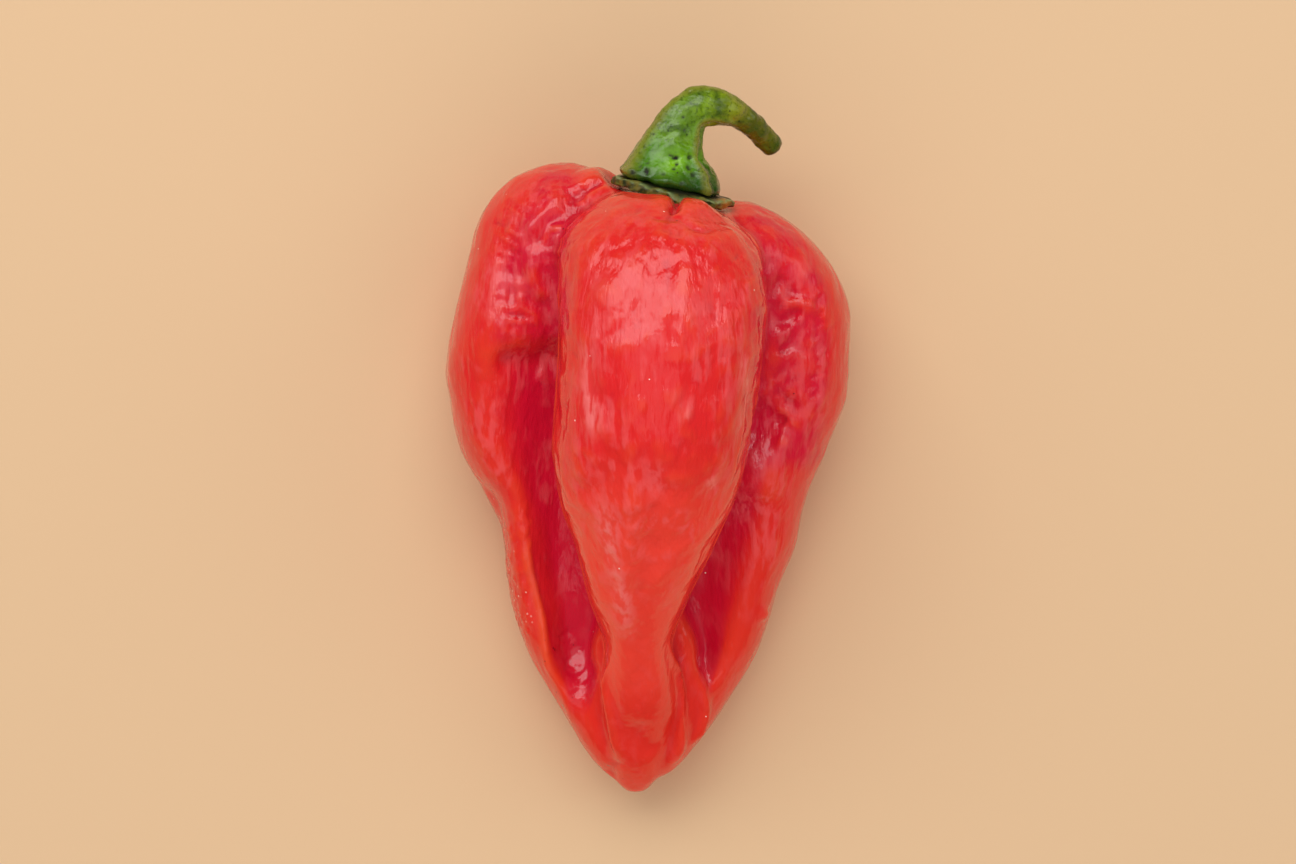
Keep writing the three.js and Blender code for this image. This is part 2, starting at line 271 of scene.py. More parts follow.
def grow_lobe(name, top, top_round, tip, tip_round, squareness, rings):
    add = bpy.ops.mesh.primitive_uv_sphere_add
    sack = new_piece(name, add, segments=LOBE_SEGMENTS, ring_count=LOBE_RINGS, radius=1)
    points = read_points(sack)
    across, over, along = points[:, 0], points[:, 1], np.clip(points[:, 2], -1, 1)
    middle = (top + tip) / 2
    half = (top - tip) / 2
    even = np.arcsin(along) / (math.pi / 2)
    y = middle + half * (END_BUNCHING * along + (1 - END_BUNCHING) * even)
    up = np.clip((y - top) / top_round + 1, 0, 1)
    down = np.clip((tip - y) / tip_round + 1, 0, 1)
    swell = np.sqrt(1 - up**2) * np.sqrt(1 - down**2)
    ring = np.hypot(across, over)
    ring[ring < NO_LENGTH] = 1
    power = 2 / squareness
    side = np.sign(across) * np.abs(across / ring) ** power
    height = np.sign(over) * np.abs(over / ring) ** power
    centre_x, centre_z, half_width, half_height = column(rings, y, 1, 2, 3, 4)
    x = centre_x + side * half_width * swell
    z = centre_z + height * half_height * swell
    write_points(sack, np.stack([x, y, z], axis=1))
    return sack


def grow_bridge(name, centre, half_sizes):
    bridge = new_piece(
        name, bpy.ops.mesh.primitive_uv_sphere_add,
        segments=BRIDGE_SEGMENTS, ring_count=BRIDGE_RINGS, radius=1, location=centre,
    )
    bridge.scale = half_sizes
    bpy.ops.object.transform_apply(location=True, rotation=True, scale=True)
    return bridge


def grow_pod():
    flesh = [grow_lobe(name, *lobe) for name, lobe in LOBES.items()]
    flesh += [grow_bridge(name, *shape) for name, shape in BRIDGES.items()]
    for piece in flesh:
        turn_faces_out(piece)
    deselect_all()
    for piece in flesh:
        piece.select_set(True)
    bpy.context.view_layer.objects.active = flesh[0]
    bpy.ops.object.join()
    pod = bpy.context.object
    pod.name = "pod_skin"
    apply_modifier(pod, "REMESH", mode="VOXEL", voxel_size=SKIN_VOXEL, use_smooth_shade=True)
    apply_modifier(pod, "SMOOTH", factor=HALF_SMOOTH, iterations=WEB_SMOOTHING)
    shape_furrows(pod)
    return pod


def furrow_targets(x, y, furrow):
    """The height of a furrow floor at each (x, y), and how far across the furrow that is."""
    crest_x, crest_z, foot_x, foot_z, slope = column(furrow, y, 1, 2, 3, 4, 5)
    across = (x - crest_x) / (foot_x - crest_x)
    fall = ease(across / slope, 0, 1)
    return crest_z + (foot_z - crest_z) * fall, across


def between_ends(y, furrow, fade):
    """1 along a furrow, fading to 0 at its two ends."""
    return ease(furrow[0][0] - y, 0, fade) * ease(y - furrow[-1][0], 0, fade)


def furrow_depth(points, normals):
    """How far inside one of the two furrows each point lies, 0 to 1."""
    x, y, z = points.T
    inside = np.zeros(len(points))
    for furrow in FURROWS.values():
        target, across = furrow_targets(x, y, furrow)
        low = ease(3.0 - (z - target), 0, 2)
        deep = between_ends(y, furrow, FURROW_TINT_FADE) * low
        inside = np.maximum(inside, deep * ease(across, 0.15, 0.6) * ease(1.8 - across, 0, 0.3))
    return inside * ease(normals[:, 2], 0.0, 0.3)


def shape_furrows(pod):
    """Lays one smooth slope from each side lobe's crest down to the foot of the front lobe."""
    points = read_points(pod)
    x, y, z = points.T
    facing = ease(read_normals(pod)[:, 2], 0.0, 0.3)
    evened = np.zeros(len(points))
    for furrow in FURROWS.values():
        target, across = furrow_targets(x, y, furrow)
        along = between_ends(y, furrow, FURROW_FADE)
        above = z - target
        reach = facing * ease(3.5 - above, 0, 1.5) * ease(above + 10, 0, 2)
        near = along * reach * ease(across, 0.0, 0.2) * ease(1.5 - across, 0, 0.25)
        points[:, 2] += (target - z) * near
        beside = along * reach * ease(across, -0.35, 0.0) * ease(1.6 - across, 0, 0.3)
        evened = np.maximum(evened, beside)
    write_points(pod, points)
    melt(pod, "furrow_floors", evened, FURROW_SMOOTHING)


# ---- sculpting on the skin ---------------------------------------------------------------

# Ridges (height above 0) and creases (height below 0), drawn on the skin from above:
# name: (width, height, [(x, y), ...]).
STROKES = {
    # the cleft where the front lobe meets the crown, and the fine folds below it
    "crown_cleft": (
        0.42, -0.95, [(2.65, 22.3), (2.6, 21.6), (2.5, 21.0), (2.3, 20.3), (2.2, 19.6)],
    ),
    "crown_fold_1": (0.28, -0.2, [(2.2, 19.9), (1.6, 18.9), (1.3, 17.7)]),
    "crown_fold_2": (0.28, -0.2, [(2.3, 19.8), (2.0, 18.4), (1.9, 17.3)]),
    "crown_fold_3": (0.28, -0.18, [(2.5, 19.8), (2.7, 18.4), (2.6, 17.3)]),
    "crown_fold_4": (0.4, -0.25, [(2.4, 20.0), (3.6, 18.6), (5.0, 18.2), (6.3, 18.9)]),
    "crown_fold_5": (0.35, -0.2, [(2.3, 20.2), (1.0, 19.2), (0.0, 19.3)]),
    # long soft ridge down the front lobe, and the shallow gutter beside it
    "front_ridge": (
        0.9, 0.32, [(-1.3, 1.4), (-1.3, -4.2), (-1.75, -10.0), (-2.5, -15.8), (-3.2, -19.8)],
    ),
    "front_gutter": (
        1.2, -0.22, [(0.6, -4.0), (0.3, -9.0), (-0.6, -15.0), (-0.8, -20.0), (-0.7, -26.0)],
    ),
    "front_inner_fold": (0.4, -0.2, [(8.6, 0.8), (8.0, -1.4), (7.6, -2.6)]),
    # crests that run over the tip
    "tip_crest_right": (
        0.5, 0.75,
        [(1.9, -17.6), (1.8, -18.5), (2.0, -20.4), (2.6, -22.0), (2.77, -23.9),
         (2.87, -26.0), (2.93, -27.8), (2.45, -29.5), (1.29, -30.9)],
    ),
    "tip_crest_outer": (
        0.5, 0.7, [(4.6, -21.0), (4.93, -23.0), (5.18, -24.8), (4.76, -26.7), (3.8, -28.6)],
    ),
    "tip_crest_left": (
        0.5, 0.7,
        [(-3.43, -19.9), (-3.76, -22.3), (-3.45, -24.4), (-3.03, -27.2), (-2.37, -30.1)],
    ),
    "tip_hollow": (0.9, -0.25, [(-1.3, -25.5), (-0.4, -28.0), (0.6, -29.4)]),
    "tip_notch": (0.6, -0.3, [(-3.9, -31.6), (-3.3, -30.6), (-2.6, -29.6)]),
    # the raised edge of the thin left flange, which also carries a pale line of painted highlight
    "flange_edge": (
        0.4, 0.4,
        [(-11.2, -7.5), (-11.08, -10.8), (-10.4, -14.0), (-9.8, -16.6), (-9.6, -18.6),
         (-9.24, -20.9), (-8.27, -22.7), (-7.6, -24.0)],
    ),
    # the lip at the end of the upper left valley
    "valley_lip": (
        1.2, 0.35, [(-14.4, 9.0), (-12.6, 8.7), (-10.6, 8.8), (-9.2, 9.5), (-8.2, 10.0)],
    ),
    "valley_fold": (
        1.0, -0.28, [(-14.0, 7.7), (-12.55, 7.0), (-10.7, 7.1), (-9.4, 7.8), (-8.4, 8.3)],
    ),
    "valley_fold_2": (0.6, 0.25, [(-10.4, 6.0), (-9.0, 5.4), (-8.1, 5.0)]),
    # wrinkles of the upper left valley
    "valley_wrinkle_1": (0.5, 0.3, [(-7.8, 22.2), (-9.1, 20.9), (-10.6, 19.4), (-11.4, 18.0)]),
    "valley_wrinkle_2": (0.5, -0.3, [(-7.9, 20.6), (-9.1, 19.1), (-10.4, 17.3)]),
    "valley_wrinkle_3": (0.5, 0.28, [(-10.9, 16.4), (-10.2, 14.0), (-8.9, 12.2)]),
    "valley_wrinkle_4": (0.5, 0.25, [(-12.2, 13.6), (-11.0, 11.6), (-9.1, 10.4)]),
    "valley_wrinkle_5": (0.4, -0.25, [(-13.6, 16.4), (-12.9, 14.0), (-12.6, 11.4)]),
    "calyx_fold": (0.5, -0.5, [(-3.4, 23.6), (-4.6, 23.2), (-6.0, 22.4), (-7.2, 21.2)]),
    # folds of the right valley
    "right_fold_1": (0.7, 0.3, [(11.3, 12.9), (13.75, 12.2), (16.0, 11.7)]),
    "right_fold_2": (0.5, 0.25, [(10.8, 8.9), (12.4, 9.6), (13.8, 10.4), (15.1, 10.8)]),
    "right_fold_3": (0.45, -0.25, [(11.2, 7.6), (13.6, 8.2), (15.4, 7.0)]),
    "right_fold_4": (0.4, -0.25, [(10.3, 4.6), (12.0, 3.6), (13.4, 2.4), (13.8, 1.2)]),
    "right_fold_5": (0.4, -0.25, [(9.8, 3.0), (11.4, 1.8), (12.3, 1.4), (13.7, -0.2)]),
}

# Rows of short wrinkles: (guide line, count, length, width, height, lean in degrees from
# square across the guide).
WRINKLE_ROWS = {
    "left_crease": (
        [(-5.4, 22.4), (-7.4, 20.8), (-8.2, 18.4), (-8.6, 15.6)], 15, 2.1, 0.26, -0.18, 12,
    ),
    "left_valley": (
        [(-12.2, 21.4), (-12.8, 17.0), (-12.4, 12.2), (-11.6, 9.6)], 16, 2.6, 0.32, -0.16, -24,
    ),
    "front_right": ([(8.2, 17.0), (9.2, 12.0), (9.3, 6.0), (8.2, -1.0)], 26, 2.2, 0.24, -0.07, 38),
    "front_left": (
        [(-6.9, 15.0), (-6.9, 8.0), (-6.8, 0.0), (-6.0, -8.0)], 20, 2.0, 0.24, -0.05, -32,
    ),
    "front_crest": (
        [(-2.0, 19.0), (0.6, 16.0), (4.0, 16.6), (6.6, 14.0)], 18, 3.2, 0.30, -0.07, 10,
    ),
    "front_middle": ([(-2.4, 12.0), (1.0, 9.0), (4.6, 10.0), (6.4, 6.0)], 14, 3.0, 0.30, -0.06, 18),
    "right_valley": (
        [(10.4, 17.0), (12.4, 12.0), (12.6, 6.0), (11.2, 0.0)], 9, 3.0, 0.5, -0.22, 34,
    ),
    "right_rim": ([(15.2, 14.0), (15.6, 9.0), (15.0, 3.4)], 14, 1.6, 0.26, -0.12, 40),
    "furrow_end": ([(-8.0, -18.0), (-7.0, -21.0), (-6.2, -24.0)], 9, 1.6, 0.26, -0.14, 20),
}
# How unevenly the wrinkles of a row are set.
WRINKLE_STRAY = 0.9           # along the guide, in shares of their spacing
WRINKLE_SHIFT = 1.3           # off the guide, in shares of half their length
WRINKLE_TURN = 22             # in degrees
WRINKLE_BOW = 0.2             # how bent each one is
GUIDE_STEP = 0.2              # spacing of a guide's points
VARY_SHIFTS = (0.0, 17.3, 41.9)   # places in the noise for a wrinkle's three variations

# Bumps (height above 0) and dents (height below 0): (x, y, radius x, radius y, height).
DIMPLES = [
    # the front lobe's two swellings beside the cleft
    (4.4, 20.3, 1.9, 1.6, 0.55), (0.7, 20.9, 1.7, 1.5, 0.45), (-2.6, 20.6, 2.2, 1.7, 0.3),
    # soft dents in the front lobe
    (-0.9, 10.5, 2.4, 2.6, -0.35), (5.7, 11.2, 2.2, 1.9, -0.3), (1.8, 14.0, 0.9, 2.0, -0.2),
    (-4.0, 5.0, 2.0, 4.0, -0.25), (3.8, 5.6, 2.4, 2.6, -0.25), (1.2, 2.0, 2.6, 2.4, 0.2),
    (4.6, -3.2, 2.2, 3.0, -0.25), (-3.6, -4.0, 1.6, 3.4, -0.2), (6.0, 2.2, 1.6, 2.2, 0.2),
    # upper left valley
    (-9.1, 21.0, 0.8, 0.8, -0.25), (-9.7, 19.7, 1.0, 1.0, -0.3), (-11.0, 17.8, 0.8, 0.8, -0.3),
    (-9.3, 17.5, 0.9, 0.9, -0.3), (-12.7, 15.7, 1.3, 1.3, -0.35), (-12.3, 12.8, 1.2, 1.2, -0.3),
    (-9.1, 14.8, 0.8, 0.9, -0.3), (-14.2, 19.4, 1.5, 1.8, -0.25), (-10.6, 12.4, 1.0, 1.2, -0.25),
    # the broad hollows of the two valleys
    (-11.8, 15.6, 3.0, 5.4, -1.1), (-10.4, 11.0, 2.4, 2.6, -0.5),
    (13.4, 11.4, 3.0, 5.2, -1.3), (13.0, 3.6, 2.8, 3.4, -0.9), (10.9, 0.9, 2.2, 1.5, -0.6),
    (10.2, -4.0, 2.1, 1.9, 0.6),
    # right valley: two deep dents, then small cobbles
    (11.94, 14.9, 1.6, 2.6, -0.7), (13.75, 13.6, 1.2, 1.2, -0.3), (12.4, 10.6, 1.4, 0.9, -0.45),
    (13.0, 4.6, 0.9, 0.9, 0.3), (14.5, 3.5, 0.9, 0.8, 0.3), (15.8, 3.3, 0.8, 0.8, 0.25),
    (11.6, 4.8, 0.8, 0.8, 0.28), (10.6, 4.1, 0.8, 0.7, 0.28), (11.2, 2.6, 0.9, 0.8, 0.3),
    (12.8, 1.4, 0.9, 0.8, 0.28), (13.9, 0.7, 0.8, 0.8, 0.28), (14.8, 2.0, 0.8, 0.8, 0.28),
    (12.2, -0.2, 0.9, 0.8, 0.25), (10.8, 0.9, 0.9, 0.9, 0.25), (9.6, -2.4, 1.9, 2.4, 0.3),
    (11.5, -16.5, 0.6, 0.6, 0.5),
]

ABOVE_ALL, MIDDLE_HEIGHT = 60.0, 10.0
STROKE_REACH = 3              # widths away from a stroke at which it has faded out
STROKE_TAPER = 0.25           # share of a stroke's length over which each end fades
FAR_AWAY = 1e9


class Skin:
    """A piece's surface while it is sculpted: finds places on it, and how far each one moves."""

    def __init__(self, piece):
        self.points = read_points(piece)
        self.normals = read_normals(piece)
        self.tree = surface_tree(piece, self.points)

    def place(self, x, y):
        """The highest point of the skin at (x, y)."""
        hit = self.tree.ray_cast(Vector((x, y, ABOVE_ALL)), Vector((0, 0, -1)))[0]
        if hit is None:
            hit = self.tree.find_nearest(Vector((x, y, MIDDLE_HEIGHT)))[0]
        return np.array(hit)

    def stroke(self, width, height, line):
        """How far each point moves for a ridge or crease along a line, tapered at its ends."""
        knots = np.array([self.place(x, y) for x, y in densify(line)])
        margin = STROKE_REACH * width
        low, high = knots.min(axis=0) - margin, knots.max(axis=0) + margin
        near = np.flatnonzero(((self.points > low) & (self.points < high)).all(axis=1))
        points = self.points[near]
        gap = np.full(len(near), FAR_AWAY)
        share = np.zeros(len(near))
        for i in range(len(knots) - 1):
            run = knots[i + 1] - knots[i]
            t = np.clip((points - knots[i]) @ run / max(run @ run, 1e-9), 0, 1)
            far = np.linalg.norm(points - knots[i] - t[:, None] * run, axis=1)
            closer = far < gap
            gap[closer] = far[closer]
            share[closer] = (i + t[closer]) / (len(knots) - 1)
        taper = ease(share, 0, STROKE_TAPER) * ease(1 - share, 0, STROKE_TAPER)
        push = np.zeros(len(self.points))
        push[near] = height * taper * bell(gap, width)
        return push

    def wrinkle_row(self, guide, count, length, width, height, lean):
        """Short wrinkles set side by side along a guide line, uneven in length and angle."""
        guide = densify(guide, GUIDE_STEP)
        push = np.zeros(len(self.points))
        for i in range(count):
            seat = Vector((i * 1.7, count * 0.9, length * 2.3))
            vary = Vector([noise.noise(seat + Vector((0, 0, shift))) for shift in VARY_SHIFTS])
            spot = int((i + 0.5 + WRINKLE_STRAY * vary.x) / count * (len(guide) - 2))
            spot = min(max(spot, 0), len(guide) - 2)
            run = guide[spot + 1] - guide[spot]
            turn = math.atan2(run[1], run[0]) + math.radians(90 + lean + WRINKLE_TURN * vary.y)
            reach = length / 2 * (1 + 0.5 * vary.z)
            along = np.array([math.cos(turn), math.sin(turn)])
            bow = np.array([-along[1], along[0]]) * reach * WRINKLE_BOW * vary.x
            middle = guide[spot] + along * vary.z * WRINKLE_SHIFT
            line = [middle - along * reach, middle + bow, middle + along * reach]
            push += self.stroke(width * (1 + 0.3 * vary.x), height * (1 + 0.4 * vary.y), line)
        return push

    def dimple(self, x, y, radius_x, radius_y, height):
        centre = self.place(x, y)
        off = self.points - centre
        reach = (off[:, 0] / radius_x) ** 2 + (off[:, 1] / radius_y) ** 2
        reach += (off[:, 2] / max(radius_x, radius_y)) ** 2 * 0.5
        return height * np.exp(-reach)


def densify(line, step=0.7):
    """Points about every `step` along a smooth line through the given ones."""
    pts = np.array(line, float)
    run = np.concatenate([[0], np.cumsum(np.linalg.norm(np.diff(pts, axis=0), axis=1))])
    at = np.linspace(0, run[-1], max(3, int(run[-1] / step) + 2))
    return np.stack(
        [smooth_through(list(zip(run, pts[:, axis])), at) for axis in (0, 1)], axis=1
    )


def front_lobe_turn(points):
    """Where points lie round the front lobe: nearness to its skin, and degrees above its side."""
    *_, power, rings = LOBES["front_lobe"]
    x, y, z = points.T
    centre_x, centre_z, half_width, half_height = column(rings, y, 1, 2, 3, 4)
    across = (x - centre_x) / half_width
    over = (z - centre_z) / half_height
    nearness = 1 - ease(np.abs(np.abs(across) ** power + np.abs(over) ** power - 1), 0.10, 0.35)
    turn = np.degrees(np.arctan2(over, np.abs(across)))
    return nearness * ease(21 - y, 0, 3) * ease(y + 27, 0, 5), turn


# The ridge along the lower edges of the front lobe, by the turn in degrees above its side.
EDGE_TURN, EDGE_WIDTH, EDGE_HEIGHT = 3, 5, 0.14


def sculpt_pod(pod):
    skin = Skin(pod)
    push = np.zeros(len(skin.points))
    for width, height, line in STROKES.values():
        push += skin.stroke(width, height, line)
    for dimple in DIMPLES:
        push += skin.dimple(*dimple)
    nearness, turn = front_lobe_turn(skin.points)
    push += EDGE_HEIGHT * nearness * bell(turn - EDGE_TURN, EDGE_WIDTH)
    write_points(pod, skin.points + skin.normals * push[:, None])
    apply_modifier(pod, "SMOOTH", factor=HALF_SMOOTH, iterations=1)


# Waves on the skin: (length of a wave, its place in the noise, stretch, octaves) and height.
SWELLING, SWELLING_HEIGHT = (5.0, 3.7), 0.20
ROLLING, ROLLING_HEIGHT = (2.7, 7.3, (1.0, 0.7, 1.0), 2), 0.17
CRUMPLING, CRUMPLING_HEIGHT = (1.9, 11.3, (1.0, 0.8, 1.0)), 0.13
CREPING, CREPING_HEIGHT = (0.9, 5.1, (1.0, 0.6, 1.0), 2), 0.055
PIMPLING, PIMPLING_HEIGHT = (0.62, 8.9, (1, 1, 1), 1), 0.22
PIMPLE_DIP = -0.1             # the skin between pimples sinks no further than this


def wrinkle_pod(pod):
    """Ripples and wrinkles the skin, and says how far each point is inside a side valley."""
    skin = Skin(pod)
    points, normals = skin.points, skin.normals
    x, y, z = points.T
    up = ease(normals[:, 2], -0.2, 0.3)
    high = np.maximum(y - 14, 0)
    left_outer = ease(15.2 + x - 0.45 * high, 0, 2.2)
    left_valley = ease(-x, 5.5, 8.0) * left_outer * ease(y, 7.5, 10.0) * up
    right_outer = ease(17.4 - x - 0.5 * high, 0, 2.2)
    right_valley = ease(x, 8.0, 10.0) * right_outer * ease(y, -4.0, -1.0) * up
    front = ease(z, 17, 24)
    furrow = (1 - front) * ease(-y, -6.0, -3.0) * ease(12.0 - np.abs(x), 0, 3)
    rough = 0.18 + 0.6 * left_valley + 0.6 * right_valley + 0.22 * front - 0.15 * furrow
    loose = 0.5 + 0.5 * front + 0.3 * up
    swell = ripples(points, *SWELLING) * SWELLING_HEIGHT * loose * (1 - 0.5 * furrow)
    swell += ripples(points, *ROLLING) * ROLLING_HEIGHT * front
    crumple = ripples(points, *CRUMPLING) * CRUMPLING_HEIGHT * rough
    crepe = ripples(points, *CREPING) * CREPING_HEIGHT * rough
    flange = ease(-x, 10.4, 11.2) * ease(-y, 6.0, 8.0) * ease(20.0 + y, 0, 3) * up
    pimples = np.maximum(ripples(points, *PIMPLING), PIMPLE_DIP) * PIMPLING_HEIGHT * flange
    push = swell + crumple + crepe + pimples
    for row in WRINKLE_ROWS.values():
        push += skin.wrinkle_row(*row)
    write_points(pod, points + normals * push[:, None])
    return left_valley + right_valley


def settle_pod(pod):
    """Presses the pod's underside flat where it lies on the surface."""
    points = read_points(pod)
    points[:, 2] = np.maximum(points[:, 2], 0)
    write_points(pod, points)


# ---- crown: where the stalk grows from the pod -------------------------------------------

CROWN_CENTRE = Vector((1.8, 22.35, 14.4))
CROWN_TURN = math.radians(-13)
CROWN_LIFT = math.radians(8)
CROWN_TILT = Euler((CROWN_LIFT, 0, CROWN_TURN), "XYZ").to_matrix()
CROWN = Matrix.Translation(CROWN_CENTRE) @ CROWN_TILT.to_4x4()
CALYX_RADIUS = 5.1
CROWN_SEAT = -0.6             # height of the pod's top under the calyx, along the crown's +Y
CROWN_SMOOTHING = 20          # passes that round off the skin beside the calyx


def to_crown(points):
    """Points in the crown's own frame, whose +Y leaves the pod along the stalk."""
    inverse = np.array(CROWN.inverted())
    return points @ inverse[:3, :3].T + inverse[:3, 3]


def from_crown(points):
    matrix = np.array(CROWN)
    return points @ matrix[:3, :3].T + matrix[:3, 3]


def seat_crown(pod):
    """Sinks the top of the pod under the calyx and brings its shoulders up to the calyx rim."""
    local = to_crown(read_points(pod))
    reach = np.hypot(local[:, 0], local[:, 2])
    ceiling = CROWN_SEAT + 1.2 * np.maximum(reach - CALYX_RADIUS - 0.35, 0)
    near = (reach < CALYX_RADIUS + 3) & (local[:, 1] > -3)
    shoulder = CROWN_SEAT - 0.55 * np.maximum(reach - CALYX_RADIUS + 0.6, 0) ** 1.7
    lifted = near & (local[:, 1] > -2.4)
    local[lifted, 1] = np.maximum(local[lifted, 1], shoulder[lifted])
    cut = near * ease(local[:, 1] - ceiling, -0.7, 0.0) * ease(reach, 4.6, 5.2)
    local[near, 1] = np.minimum(local[near, 1], ceiling[near])
    write_points(pod, from_crown(local))
    melt(pod, "crown_shoulder", cut, CROWN_SMOOTHING)


# Radius of the calyx rim and how far it droops onto the pod, by the turn round the crown in
# degrees, from the right (0) over the front (90): (turn, radius, droop).
CALYX_RIM = [
    (0, 6.0, 0.05), (12, 5.6, -0.05), (30, 5.5, -0.2), (60, 5.4, -0.2), (79, 5.6, -0.55),
    (92, 5.4, -0.3), (120, 5.4, -0.15), (150, 5.3, -0.15), (172, 5.2, -0.15), (190, 5.0, 0.0),
    (216, 5.5, -0.3), (240, 5.0, 0.0), (270, 5.0, 0.0), (288, 5.5, -0.3), (310, 5.0, 0.0),
    (345, 5.4, 0.0), (360, 6.0, 0.05),
]
CALYX_SEGMENTS, CALYX_RINGS = 180, 40
CALYX_THICKNESS = 1.15
CALYX_THINNING = 0.25         # share of the thickness that is lost at the rim
CALYX_BLUNTNESS = 0.45        # 1 is a lens, nearer 0 a flat plate with square edges
CALYX_RISE = 0.25             # how far the ring stands up round the stalk's foot
# Fraying of the rim: (length of a wave, its place in the noise), and how strong it is.
RIM_CURL, RIM_CURL_HEIGHT = (1.5, 2.3), 0.34
RIM_TEAR, RIM_TEAR_SHARE = (0.9, 9.3), 0.035
RIM_SWAY, RIM_SWAY_SHARE = (2.6, 4.9), 0.03
DRIED_TURN, DRIED_WIDTH = 17, 10
LIP_PLACE, LIP_WIDTH = 0.5, 0.13


def grow_calyx():
    calyx = new_piece(
        "calyx_brim", bpy.ops.mesh.primitive_uv_sphere_add,
        segments=CALYX_SEGMENTS, ring_count=CALYX_RINGS, radius=1,
    )
    points = read_points(calyx)
    reach = np.hypot(points[:, 0], points[:, 1])
    turn = np.degrees(np.arctan2(points[:, 1], points[:, 0])) % 360
    radius, droop = column(CALYX_RIM, turn, 1, 2)
    rim = np.sin(reach * math.pi / 2)
    thick = CALYX_THICKNESS / 2 * (1.0 - CALYX_THINNING * rim**4)
    local = np.empty_like(points)
    local[:, 0] = np.cos(np.radians(turn)) * radius * rim
    local[:, 2] = np.sin(np.radians(turn)) * radius * rim
    rounded = np.sign(points[:, 2]) * np.abs(points[:, 2]) ** CALYX_BLUNTNESS
    local[:, 1] = CALYX_RISE + rounded * thick + droop * ease(rim, 0.78, 1.0)
    frayed = ease(rim, 0.8, 1.0)
    local[:, 1] += ripples(local, *RIM_CURL) * RIM_CURL_HEIGHT * frayed
    torn = ripples(local, *RIM_TEAR) * RIM_TEAR_SHARE + ripples(local, *RIM_SWAY) * RIM_SWAY_SHARE
    ragged = 1 + torn * frayed
    local[:, 0] *= ragged
    local[:, 2] *= ragged
    write_points(calyx, from_crown(local))
    write_attribute(calyx, "rim", rim)
    dried = bell(turn - DRIED_TURN, DRIED_WIDTH) * ease(rim, 0.78, 0.9)
    write_attribute(calyx, "dried", dried)
    write_attribute(calyx, "lip", bell(np.abs(points[:, 2]) - LIP_PLACE, LIP_WIDTH))
    turn_faces_out(calyx)
    return calyx


# The stalk's centre line, and its radius by the share of its length.
STALK_LINE = [
    (1.85, 25.3, 15.0), (2.6, 27.6, 15.5), (3.4, 29.3, 15.9), (4.9, 30.2, 16.0), (6.4, 30.1, 15.6),
    (8.6, 29.1, 14.1), (10.0, 28.1, 12.8), (11.5, 26.7, 11.2),
]
STALK_RADII = [
    (0.0, 4.45), (0.03, 4.65), (0.07, 4.3), (0.14, 3.5), (0.22, 2.85), (0.3, 2.35), (0.4, 1.98),
    (0.5, 1.8), (0.6, 1.5), (0.7, 1.25), (0.85, 1.05), (1.0, 0.98),
]
STALK_SIDES, STALK_RINGS = 128, 100
STALK_END_RINGS, STALK_END_INSET = 8, 0.12
STALK_START = 0.78            # how far in front of the crown's centre the foot starts
STALK_STATIONS = 401          # points of the centre line
STALK_EVENING = 500           # passes that even out its bend
CUT_ROUNDING = 0.12           # share of the radius lost at the edge of the cut end
CUT_HOLLOW = 0.22             # depth of the hollow in the cut end
# Ribs by the turn in degrees from the front (0) towards the right (90): (turn, width, height).
STALK_RIBS = [(-60, 21, 0.11), (48, 8, 0.11), (82, 14, 0.07), (140, 14, 0.1), (-140, 14, 0.1)]
RIB_FULL, RIB_MIDDLE = 0.11, 0.035
# Waves on the stalk: (length of a wave, its place in the noise), and their height.
STALK_SWELLING, STALK_SWELLING_HEIGHT = (2.6, 6.1), 0.19
STALK_RIPPLING, STALK_RIPPLING_HEIGHT = (0.9, 4.4), 0.085
FOOT_LUMPS, FOOT_LUMPS_HEIGHT = (1.5, 3.3), 0.22
# The fresh green patch on the foot: (x, y, radius x, radius y, strength), and its mottling.
FRESH_PATCH, FRESH_MOTTLING = (2.1, 24.7, 2.1, 1.25, 0.85), (1.2, 7.7)
# Pits and scars of the stalk: (x, y, radius x, radius y, height, darkness).
STALK_PITS = [
    (2.00, 25.50, 0.22, 0.12, -0.15, 0.8), (2.45, 25.25, 0.30, 0.16, -0.25, 1.0),
    (2.55, 24.70, 0.16, 0.16, -0.18, 1.0), (2.30, 24.25, 0.20, 0.14, -0.18, 0.9),
    (-0.20, 24.05, 0.16, 0.30, -0.28, 1.0), (-1.40, 23.90, 0.18, 0.16, -0.22, 0.9),
    (-0.05, 24.75, 0.16, 0.14, -0.12, 0.6), (3.65, 25.30, 0.20, 0.18, -0.20, 0.8),
    (3.60, 24.35, 0.24, 0.22, -0.20, 0.8), (4.00, 23.75, 0.22, 0.20, -0.20, 0.8),
    (1.30, 23.70, 0.18, 0.16, -0.15, 0.6), (2.95, 22.90, 0.18, 0.16, -0.15, 0.6),
    (3.10, 28.90, 0.12, 0.10, -0.12, 0.9), (0.45, 27.45, 0.10, 0.10, -0.10, 0.6),
    (3.25, 27.80, 0.12, 0.10, -0.10, 0.6), (-0.75, 24.40, 0.12, 0.12, -0.1, 0.5),
    (4.55, 24.2, 0.14, 0.14, -0.12, 0.6), (5.0, 23.4, 0.14, 0.14, -0.12, 0.5),
]
# Creases and folds of the stalk: (width, height, line).
STALK_CREASES = [
    (0.16, -0.16, [(2.2, 26.95), (2.9, 26.6), (3.6, 26.25), (4.1, 26.2)]),
    (0.22, -0.12, [(-1.1, 25.9), (-0.3, 25.3), (-0.1, 24.6)]),
    (0.18, -0.10, [(0.2, 28.6), (1.3, 28.8), (2.3, 28.7)]),
    (0.30, 0.14, [(-0.8, 23.0), (0.8, 23.1), (2.4, 22.9), (4.2, 22.6)]),
]


